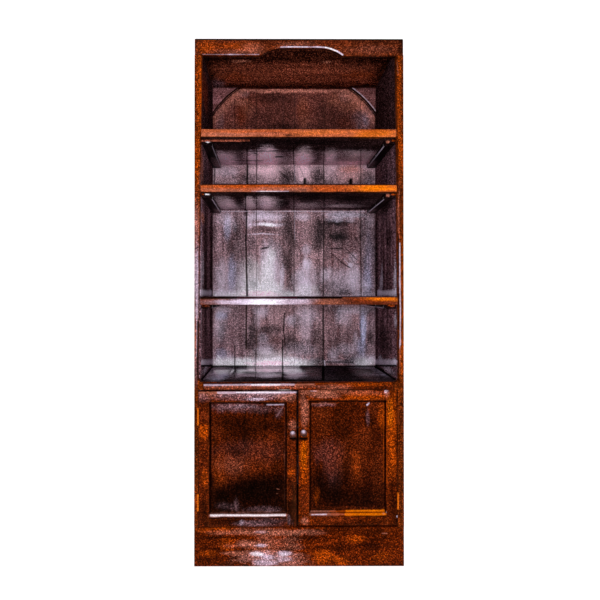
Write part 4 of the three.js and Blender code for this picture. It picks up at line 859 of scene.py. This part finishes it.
# doors; gloom darkens the lower half of a panel. The lines around a panel, by their plane's y, are painted
# shadow in the recess about it with a painted highlight along its bottom; on the frames the pale marks and
# lines are painted highlights, and the black lines between the doors, by the hinges and under the knobs painted
# shadow
doors = {
    "left": {
        "seed": 21.0, "dark": (38, 10, 1), "light": (86, 28, 6), "warm": (96, 30, 3), "gloom": 0.85,
        "marks": [
            ("mauve", -162, 622, 226, 15, 0.9), ("mauve", -172, 609, 117, 12, 0.6),
            ("bloom", -158, 609, 56, 9, 0.7), ("mauve", -343, 612, 33, 22, 0.3),
            ("rose", -50, 615, 58, 18, 0.3), ("rose", -31, 624, 42, 16, 0.5),
            ("mauve", -162, 610, 226, 11, 0.25), ("soot", -22, 462, 17, 9, 1),
            ("amber", -347, 492, 27, 40, 0.7), ("russet", -347, 549, 27, 40, 0.5),
            ("rose", -25, 513, 24, 26, 0.45), ("soot", -25, 564, 27, 40, 0.3),
            ("russet", -24, 458, 22, 52, 0.3), ("soot", -348, 582, 26, 22, 0.4),
            ("russet", -346, 356, 22, 146, 0.35), ("amber", -344, 325, 20, 51, 0.4),
            ("amber", -27, 341, 18, 29, 0.5), ("soot", -25, 233, 27, 146, 1),
            ("mauve", -38, 167, 9, 22, 0.6), ("rust", -32, 259, 11, 36, 0.6),
            ("soot", -203, 161, 233, 27, 0.8), ("mauve", -175, 152, 77, 18, 0.45),
            ("soot", -93, 166, 69, 13, 0.3), ("mauve", -103, 163, 91, 24, 0.25),
            ("bloom", -210, 156, 11, 16, 0.2), ("soot", -348, 193, 26, 73, 0.65),
            ("rose", -46, 614, 55, 26, 0.4), ("blush", -95, 637, 130, 17, 0.45),
            ("rose", -327, 631, 52, 29, 0.35), ("russet", -220, 605, 65, 34, 0.3),
            ("soot", -226, 605, 57, 34, 0.25), ("soot", -82, 171, 81, 31, 0.45)],
        "lines": [
            ("rose", -315, 629, -233, 630, 5.8, 0.9), ("bloom", -295, 630, -6, 631, 5.8, 0.85),
            ("gleam", -228, 631, -70, 631, 3.5, 0.7), ("rose", -363, 629, -321, 629, 3.5, 0.9),
            ("soot", -5, 637, -5, 422, 10.2, 1), ("soot", -366, 597, -366, 422, 3, 0.5),
            ("soot", -31, 463, -13, 463, 8.4, 1), ("soot", -5, 458, -5, 142, 10.2, 1),
            ("soot", -325, 176, -50, 178, 4.2, 0.8), ("soot", -366, 458, -365, 152, 3, 0.5)],
        "panelMarks": [
            ("mauve", -252, 578, 99, 19, 0.4), ("mauve", -191, 571, 172, 25, 0.25),
            ("bloom", -196, 577, 62, 10, 0.12), ("mauve", -74, 554, 24, 29, 0.2),
            ("soot", -257, 518, 92, 37, 0.45), ("soot", -193, 487, 73, 66, 0.6),
            ("soot", -101, 508, 73, 37, 0.6), ("rust", -116, 456, 81, 53, 0.35),
            ("soot", -124, 562, 99, 26, 0.35), ("soot", -183, 500, 146, 70, 0.25),
            ("rust", -298, 487, 33, 37, 0.45), ("amber", -288, 345, 33, 77, 0.3),
            ("mauve", -183, 412, 190, 62, 0.05), ("rust", -137, 399, 95, 81, 0.35),
            ("rust", -280, 355, 51, 99, 0.55), ("rust", -211, 358, 143, 73, 0.5),
            ("rose", -239, 363, 81, 44, 0.15), ("soot", -226, 414, 48, 29, 0.5),
            ("soot", -155, 273, 150, 77, 0.95), ("soot", -280, 242, 51, 62, 0.8),
            ("mauve", -261, 216, 57, 20, 0.14), ("mauve", -132, 204, 103, 15, 0.2),
            ("mauve", -98, 198, 40, 7, 0.5), ("mauve", -230, 225, 13, 37, 0.12),
            ("soot", -70, 254, 29, 287, 0.3), ("soot", -38, 569, 44, 37, 0.3),
            ("soot", -104, 552, 65, 23, 0.4), ("soot", -86, 196, 76, 16, 0.2)],
        "panelLines": [
            ("soot", -323, 591, -323, 419, 4.8, 1), ("soot", -323, 590, -44, 590, 5.4, 1),
            ("soot", -48, 587, -48, 419, 2.4, 1), ("bloom", -117, 584, -56, 584, 3.6, 0.7),
            ("mauve", -52, 575, -51, 419, 2.2, 0.35), ("mauve", -58, 576, -81, 541, 4, 0.5),
            ("rust", -53, 580, -52, 419, 2.7, 0.5), ("soot", -323, 455, -323, 196, 4.8, 1),
            ("soot", -48, 455, -48, 199, 2.4, 1), ("rose", -53, 455, -52, 199, 2.2, 0.4),
            ("rose", -321, 191, -50, 192, 2.7, 0.9), ("bloom", -229, 191, -80, 192, 1.8, 0.6),
            ("soot", -326, 187, -50, 188, 3.6, 1), ("mauve", -233, 230, -229, 199, 6.2, 0.25),
            ("rose", -80, 278, -73, 276, 2.7, 0.5), ("rose", -82, 261, -77, 260, 2.2, 0.4)],
        "grooves": {
            -0.152: [("soot", -323.6, 188, -323.6, 592, 6.6, 1), ("soot", -323, 591.5, -48, 591.5, 5.5, 1),
                     ("soot", -47, 188, -47, 592, 6.2, 1)],
            -0.153: [("pink", -323, 183.5, -49, 184.5, 7.5, 0.9), ("gleam", -320, 183.5, -52, 184.5, 5.5, 1)]}},
    "right": {
        "seed": 23.0, "dark": (42, 11, 1), "light": (94, 30, 3), "warm": (109, 35, 1), "gloom": 0.6,
        "marks": [
            ("rose", 63, 628, 80, 18, 0.5), ("rose", 96, 626, 84, 21, 0.8), ("rose", 116, 611, 55, 9, 0.4),
            ("rose", 226, 627, 117, 14, 0.4), ("amber", 231, 616, 109, 24, 0.6),
            ("bloom", 315, 633, 12, 11, 0.9), ("rose", 318, 623, 15, 15, 0.6),
            ("amber", 334, 520, 24, 153, 0.7), ("flame", 328, 554, 15, 84, 0.3),
            ("soot", 353, 541, 10, 36, 0.4), ("rose", 22, 554, 22, 69, 0.45), ("soot", 16, 461, 18, 9, 1),
            ("rose", 35, 634, 113, 13, 0.3), ("amber", 22, 459, 22, 66, 0.45),
            ("soot", 19, 620, 26, 26, 0.45), ("soot", 325, 579, 11, 33, 0.25),
            ("amber", 19, 374, 26, 120, 0.5), ("flame", 19, 407, 18, 73, 0.25),
            ("russet", 19, 241, 26, 69, 0.5), ("rose", 20, 163, 20, 20, 0.6),
            ("amber", 338, 392, 22, 95, 0.65), ("soot", 336, 223, 26, 102, 0.5),
            ("russet", 129, 167, 124, 22, 0.5), ("soot", 213, 160, 142, 17, 0.4),
            ("soot", 200, 151, 226, 7, 0.5), ("rose", 14, 583, 21, 70, 0.3),
            ("amber", 302, 538, 16, 68, 0.35), ("soot", 334, 556, 21, 57, 0.35),
            ("rose", 132, 636, 70, 10, 0.35)],
        "lines": [
            ("soot", 358, 635, 358, 422, 5.4, 1), ("bloom", 42, 635, 63, 635, 2.2, 0.5),
            ("soot", 5, 463, 26, 463, 10.8, 1), ("gleam", 308, 193, 313, 194, 7.1, 1),
            ("soot", 357, 458, 357, 152, 3.6, 0.6), ("soot", 42, 182, 313, 183, 3.6, 0.6),
            ("bloom", 357, 180, 359, 180, 5.3, 1), ("soot", 356, 166, 358, 162, 9.6, 0.9),
            ("amber", 42, 182, 45, 152, 2.2, 0.5)],
        "panelMarks": [
            ("rust", 75, 557, 42, 48, 0.6), ("mauve", 91, 582, 62, 10, 0.35),
            ("rust", 235, 466, 40, 67, 0.5), ("soot", 143, 486, 70, 97, 0.5),
            ("mauve", 249, 539, 10, 37, 0.3), ("soot", 289, 476, 37, 82, 0.3),
            ("soot", 186, 567, 73, 18, 0.3), ("mauve", 109, 409, 81, 66, 0.08),
            ("mauve", 120, 353, 51, 103, 0.06), ("rust", 212, 368, 51, 124, 0.5),
            ("rust", 143, 399, 77, 81, 0.5), ("rust", 89, 504, 37, 114, 0.3),
            ("amber", 208, 366, 24, 84, 0.18), ("soot", 76, 296, 40, 110, 0.8),
            ("soot", 132, 255, 70, 66, 0.85), ("soot", 245, 242, 92, 62, 0.65),
            ("soot", 171, 363, 29, 88, 0.4), ("rust", 287, 348, 35, 154, 0.4),
            ("rust", 276, 589, 55, 59, 0.6), ("amber", 66, 253, 15, 48, 0.2),
            ("rust", 179, 207, 187, 11, 0.3), ("amber", 304, 536, 22, 68, 0.45)],
        "panelLines": [
            ("soot", 41, 595, 41, 419, 4.8, 1), ("soot", 39, 595, 316, 595, 4.2, 1),
            ("soot", 315, 592, 315, 419, 4.8, 1), ("amber", 310, 589, 309, 419, 3.1, 0.5),
            ("bloom", 248, 582, 256, 589, 4.5, 1), ("rose", 48, 587, 135, 588, 2.7, 0.5),
            ("soot", 41, 455, 41, 199, 4.8, 1), ("soot", 315, 455, 314, 200, 4.8, 1),
            ("amber", 309, 455, 308, 301, 3.1, 0.4), ("soot", 233, 271, 234, 204, 3.6, 0.7),
            ("rose", 46, 192, 130, 193, 7.6, 0.9), ("amber", 114, 192, 191, 193, 7.6, 0.9),
            ("flame", 176, 194, 308, 196, 8.5, 1)],
        "grooves": {
            -0.152: [("soot", 40, 192, 40, 597, 6.2, 1), ("soot", 40, 598, 313.5, 598.5, 6.6, 1),
                     ("soot", 313.3, 192, 313.3, 598, 6.2, 1)],
            -0.156: [("amber", 318.5, 300, 318.5, 592, 3.5, 0.8)],
            -0.153: [("rose", 42, 187, 140, 188, 7.5, 0.95), ("haze", 46, 186, 100, 186.8, 3.5, 0.8),
                     ("amber", 120, 188, 200, 188, 7.5, 0.8), ("rose", 100, 187, 190, 187.5, 3, 0.6),
                     ("flame", 170, 188, 312, 189, 7.8, 1)]}},
}
insideDoor = (40, 15, 5), (92, 38, 14)
for hand, values in doors.items():
    wood = {k: values[k] for k in ("seed", "dark", "light", "warm")}
    wood["plain"] = ("Y", -0.142, -0.139, *insideDoor)
    marks = patches(frontY, 0.05, values["marks"])
    lines = strokes(frontY, values["lines"])
    for plane, rows in values["grooves"].items():
        lines += strokes(plane, rows)
    finish((f"door_{hand}_hinge", f"door_{hand}_meeting"), look(**wood), marks=marks, lines=lines)
    finish((f"door_{hand}_top", f"door_{hand}_bottom"), look(**wood, runs="across"), marks=marks, lines=lines)
    finish(f"door_{hand}_panel", look(
        seed=values["seed"] + 1, dark=(24, 6, 1), light=(74, 22, 4), warm=(85, 26, 2), wear=0.1,
        plain=("Y", -0.1445, -0.142, *insideDoor)), zones=[("soot", "Z", 0.37, 0.30, values["gloom"])],
        marks=patches(panelY, 0.05, values["panelMarks"]), lines=strokes(panelY, values["panelLines"]))

# knobs, pale where the light catches them and nearly black below
knobPlaces = ((-0.0235, 0.485), (0.015, 0.489))
knobMarks = []
for x, z in knobPlaces:
    knobMarks += [("mauve", (x - 0.001, -0.186, z + 0.006), (0.016, 0.02, 0.009), 0.7),
                  ("bloom", (x - 0.002, -0.186, z + 0.0085), (0.013, 0.02, 0.0085), 0.9),
                  ("haze", (x - 0.0015, -0.186, z + 0.0105), (0.009, 0.02, 0.006), 0.8),
                  ("soot", (x + 0.001, -0.18, z - 0.01), (0.022, 0.03, 0.009), 1.0)]
finish("knob", look(
    seed=26.0, dark=(62, 30, 24), light=(104, 58, 48), warm=(86, 44, 34), gloss=(255, 244, 244), level=0.1,
    rough=0.4, speckle=1.6, wear=0.0, ragged=0.3, stray=0.0), marks=knobMarks)


# metals: brass on the hinges and their screws, steel on the catches, plates, other screws and nails
def metal(name, colour, rough, tarnished=0.55, rougher=0.25):
    material = bpy.data.materials.new(name)
    material.use_nodes = True
    tree = material.node_tree
    shader = tree.nodes["Principled BSDF"]
    spot = put(tree, "ShaderNodeTexCoord").outputs["Object"]
    tarnish = stretched(tree, noise(tree, spot, 160.0, 4.0, 0.7), 0.35, 0.7)
    darker = tone(*[c * tarnished for c in colour])
    tree.links.new(mixed(tree, tarnish, tone(*colour), darker), shader.inputs["Base Color"])
    tree.links.new(stretched(tree, tarnish, 0.0, 1.0, rough, rough + rougher), shader.inputs["Roughness"])
    shader.inputs["Metallic"].default_value = 1.0
    return material


brass = metal("hinge brass", (235, 115, 16), 0.42)
steel = metal("catch steel", (190, 188, 184), 0.32)
dull = metal("darkened brass", (128, 52, 14), 0.55)
for name, piece in cad.items():
    for slot in piece.material_slots:
        if name.startswith("hinge"):
            slot.material = dull if name.endswith("right_upper") else brass
        elif name.startswith(("catch", "strike")):
            slot.material = steel
print("bookcase: finishes made")


def newPiece(name, grid, material, body):
    mesh = bpy.data.meshes.new(name)
    bmesh.ops.recalc_face_normals(grid, faces=grid.faces)
    grid.to_mesh(mesh)
    grid.free()
    mesh.materials.append(material)
    piece = bpy.data.objects.new(name, mesh)
    scene.collection.objects.link(piece)
    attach(piece, body)


# a head is a low dome; a screw's has a slot across it, and turn is the slot's angle in degrees
heads = {"slot": 0.14, "unslotted": 0.3, "slotFloor": 0.98, "slotHeight": 0.15, "steps": (0.36, 0.62, 0.86, 1),
         "across": 9, "dome": 0.75, "foot": 0.6}


def addHead(grid, spot, facing, radius, height, slotted=True, turn=0.0):
    middle = Vector(spot)
    frameOf = Vector(facing).to_track_quat("Z", "Y").to_matrix() @ Matrix.Rotation(math.radians(turn), 3, "Z")
    half = heads["slot"] if slotted else heads["unslotted"]
    outward = heads["steps"]
    floor = half * heads["slotFloor"]
    columns = [*(-c for c in reversed(outward)), -half, -floor, floor, half, *outward]
    rows = []
    for c in columns:
        reach = math.sqrt(max(0.0, 1 - c * c))
        row = []
        for k in range(heads["across"]):
            r = reach * (2 * k / (heads["across"] - 1) - 1)
            lift = height * (1 - heads["dome"] * min(1.0, c * c + r * r))
            if slotted and abs(c) < half:
                lift *= heads["slotHeight"]
            row.append(grid.verts.new(middle + frameOf @ Vector((c * radius, r * radius, lift))))
        rows.append(row)
    for near, far in zip(rows, rows[1:]):
        for corners in zip(near, near[1:], far[1:], far):
            grid.faces.new(list(dict.fromkeys(corners)))
    rim = [row[-1] for row in rows] + [row[0] for row in reversed(rows)]
    foot = []
    for vert in rim:
        local = frameOf.inverted() @ (vert.co - middle)
        foot.append(grid.verts.new(middle + frameOf @ Vector((local.x, local.y, -height * heads["foot"]))))
    for k, vert in enumerate(rim):
        grid.faces.new((vert, foot[k], foot[(k + 1) % len(rim)], rim[(k + 1) % len(rim)]))


# screws: three in each hinge leaf, two in each strike plate, three in the side of each cleat
screws = {
    "leaf": 0.0032, "plate": 0.0022, "cleat": 0.0042, "proud": 0.0003, "cleatProud": 0.0009,
    "apart": 0.02, "stagger": 0.003, "leafY": -0.1475, "leafHalf": 0.00075,
    "plateShares": (0.16, 0.84), "cleatShares": (0.12, 0.5, 0.88),
    "hinges": {"left": (-0.36625, 1, (0.235, 0.544)), "right": (0.35775, -1, (0.239, 0.548))},
}
chance = random.Random(7)


def addScrew(grid, spot, facing, radius, proud):
    addHead(grid, spot, facing, radius, proud, turn=chance.uniform(0, 180))


def addScrews():
    for hand, (pin, way, heights) in screws["hinges"].items():
        onFrame, onDoor = bmesh.new(), bmesh.new()
        for middle in heights:
            for k in (-1, 0, 1):
                y, z = screws["leafY"] + screws["stagger"] * (k % 2), middle + screws["apart"] * k
                for grid, side in ((onFrame, way), (onDoor, -way)):
                    spot = (pin - side * screws["leafHalf"], y, z)
                    addScrew(grid, spot, (side, 0, 0), screws["leaf"], screws["proud"])
        newPiece(f"hinge_screws_{hand}_frame", onFrame, brass, "carcass")
        newPiece(f"hinge_screws_{hand}_door", onDoor, brass, "door_" + hand)
        onPlate = bmesh.new()
        low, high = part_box("strike_plate_" + hand)
        for share in screws["plateShares"]:
            spot = (low[0] + (high[0] - low[0]) * share, high[1], (low[2] + high[2]) / 2)
            addScrew(onPlate, spot, (0, 1, 0), screws["plate"], screws["proud"])
        newPiece(f"strike_screws_{hand}", onPlate, steel, "door_" + hand)
        onCleats = bmesh.new()
        for level in ("lower", "middle", "upper", "cabinet"):
            low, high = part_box(f"cleat_{level}_{hand}")
            face = high[0] if way > 0 else low[0]
            for share in screws["cleatShares"]:
                spot = (face, low[1] + (high[1] - low[1]) * share, (low[2] + high[2]) / 2)
                addScrew(onCleats, spot, (way, 0, 0), screws["cleat"], screws["cleatProud"])
        newPiece(f"cleat_screws_{hand}", onCleats, steel, "carcass")


addScrews()

# nails: two in each back board at each board or shelf behind it
nails = {"radius": 0.0032, "proud": 0.0007, "shares": (0.22, 0.78), "stray": (0.006, 0.003),
         "heights": (0.131, 0.656, 0.963, 1.374, 1.575, 1.91)}


def addNails():
    grid = bmesh.new()
    strayX, strayZ = nails["stray"]
    for count in range(1, len(backBoards) + 1):
        low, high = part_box(f"back_board_{count}")
        for height in nails["heights"]:
            for share in nails["shares"]:
                x = low[0] + (high[0] - low[0]) * share + chance.uniform(-strayX, strayX)
                z = height + chance.uniform(-strayZ, strayZ)
                addHead(grid, (x, high[1], z), (0, 1, 0), nails["radius"], nails["proud"], slotted=False)
    newPiece("back_nails", grid, steel, "carcass")


addNails()

# a pale lath under the left half of the upper shelf, a little uneven along its length, with a painted shadow
# along its top and under its right end
lath = {"from": -0.3595, "to": -0.181, "front": -0.1358, "back": -0.1318, "low": 1.551, "high": 1.5604,
        "steps": 24, "soft": 0.0009, "sag": 0.0004, "uneven": 0.0001}


def addLath():
    grid = bmesh.new()
    rows = []
    front, back, high, soft = lath["front"], lath["back"], lath["high"], lath["soft"]
    for k in range(lath["steps"] + 1):
        x = lath["from"] + (lath["to"] - lath["from"]) * k / lath["steps"]
        sag = lath["sag"] * math.sin(k * 0.9) + chance.uniform(-lath["uneven"], lath["uneven"])
        low = lath["low"] + sag
        ring = [(front + soft, low), (front, low + soft), (front, high - soft), (front + soft, high),
                (back - soft, high), (back, high - soft), (back, low + soft), (back - soft, low)]
        rows.append([grid.verts.new((x, y, z)) for y, z in ring])
    for near, far in zip(rows, rows[1:]):
        for k in range(len(near)):
            after = (k + 1) % len(near)
            grid.faces.new((near[k], far[k], far[after], near[after]))
    grid.faces.new(rows[0])
    grid.faces.new(list(reversed(rows[-1])))
    wood = varnish("lath varnish", look(
        seed=30.0, runs="across", dark=(104, 48, 36), light=(188, 104, 84), warm=(150, 72, 46), wear=0.0),
        lines=[("soot", (-0.37, -0.136, 1.5604), (-0.17, -0.136, 1.5604), 0.0062, 1.0),
               ("soot", (-0.215, -0.136, 1.551), (-0.17, -0.136, 1.551), 0.008, 0.7)])
    newPiece("shelf_lath", grid, wood, "carcass")


addLath()
print("bookcase: screws, nails and lath added")


# camera, floor and light
view = {"place": (-0.1012, -1.6315, 0.995), "tilt": 0.274, "turn": -0.158, "lens": 24.345, "sensor": 36,
        "shift": (0.046, -0.0165)}
cameraData = bpy.data.cameras.new("camera")
cameraData.lens, cameraData.sensor_width = view["lens"], view["sensor"]
cameraData.shift_x, cameraData.shift_y = view["shift"]
camera = bpy.data.objects.new("camera", cameraData)
camera.location = view["place"]
camera.rotation_euler = (math.radians(90 + view["tilt"]), 0, math.radians(view["turn"]))
scene.collection.objects.link(camera)
scene.camera = camera

# a floor that bends up into a wall behind the bookcase
studio = {"wide": 12.0, "front": -9.0, "wall": 5.0, "bend": 2.0, "steps": 16, "height": 9.0, "white": 0.9,
          "rough": 0.9, "glow": 0.8, "sky": 0.15}


def addFloor():
    mesh = bpy.data.meshes.new("studio floor")
    grid = bmesh.new()
    bend, steps = studio["bend"], studio["steps"]
    turns = [math.pi / 2 * k / steps for k in range(steps + 1)]
    profile = [(studio["front"], 0.0)]
    profile += [(studio["wall"] - bend + bend * math.sin(a), bend - bend * math.cos(a)) for a in turns]
    profile += [(studio["wall"], studio["height"])]
    rows = [[grid.verts.new((x, y, z)) for x in (-studio["wide"], studio["wide"])] for y, z in profile]
    for near, far in zip(rows, rows[1:]):
        grid.faces.new((near[0], near[1], far[1], far[0])).smooth = True
    grid.to_mesh(mesh)
    grid.free()
    floor = bpy.data.objects.new("studio floor", mesh)
    material = bpy.data.materials.new("studio white")
    material.use_nodes = True
    shader = material.node_tree.nodes["Principled BSDF"]
    white = (studio["white"],) * 3 + (1,)
    shader.inputs["Base Color"].default_value = white
    shader.inputs["Roughness"].default_value = studio["rough"]
    shader.inputs["Emission Color"].default_value = white
    shader.inputs["Emission Strength"].default_value = studio["glow"]
    mesh.materials.append(material)
    scene.collection.objects.link(floor)


addFloor()

# lamps; the window stands close to the camera's line, so its gloss lies where the photograph's does
lights = {
    "window": {"place": (-0.15, -3.3, 1.24), "aim": (-0.05, 0.0, 1.0), "size": (0.6, 0.95), "power": 58,
               "colour": (1.0, 0.98, 1.0)},
    "left": {"place": (-2.2, -2.6, 1.7), "aim": (0, 0, 0.9), "size": (1.4, 1.8), "power": 15,
             "colour": (1.0, 0.98, 1.0)},
    "right": {"place": (2.2, -2.6, 1.3), "aim": (0, 0, 0.9), "size": (1.4, 1.8), "power": 11,
              "colour": (1.0, 0.94, 0.86)},
    "overhead": {"place": (0.0, -0.9, 3.6), "aim": (0, 0, 1.0), "size": (2.6, 1.6), "power": 8,
                 "colour": (1.0, 1.0, 1.0)},
}
for name, values in lights.items():
    data = bpy.data.lights.new(name, "AREA")
    data.shape, data.size, data.size_y = "RECTANGLE", values["size"][0], values["size"][1]
    data.energy, data.color = values["power"], values["colour"]
    lamp = bpy.data.objects.new(name, data)
    lamp.location = values["place"]
    lamp.rotation_euler = (Vector(values["aim"]) - Vector(values["place"])).to_track_quat("-Z", "Y").to_euler()
    scene.collection.objects.link(lamp)
world = bpy.data.worlds.new("studio")
world.use_nodes = True
sky = world.node_tree.nodes["Background"]
sky.inputs["Color"].default_value = (1, 1, 1, 1)
sky.inputs["Strength"].default_value = studio["sky"]
scene.world = world
scene.view_settings.view_transform = "Standard"
print("bookcase: camera and light set")
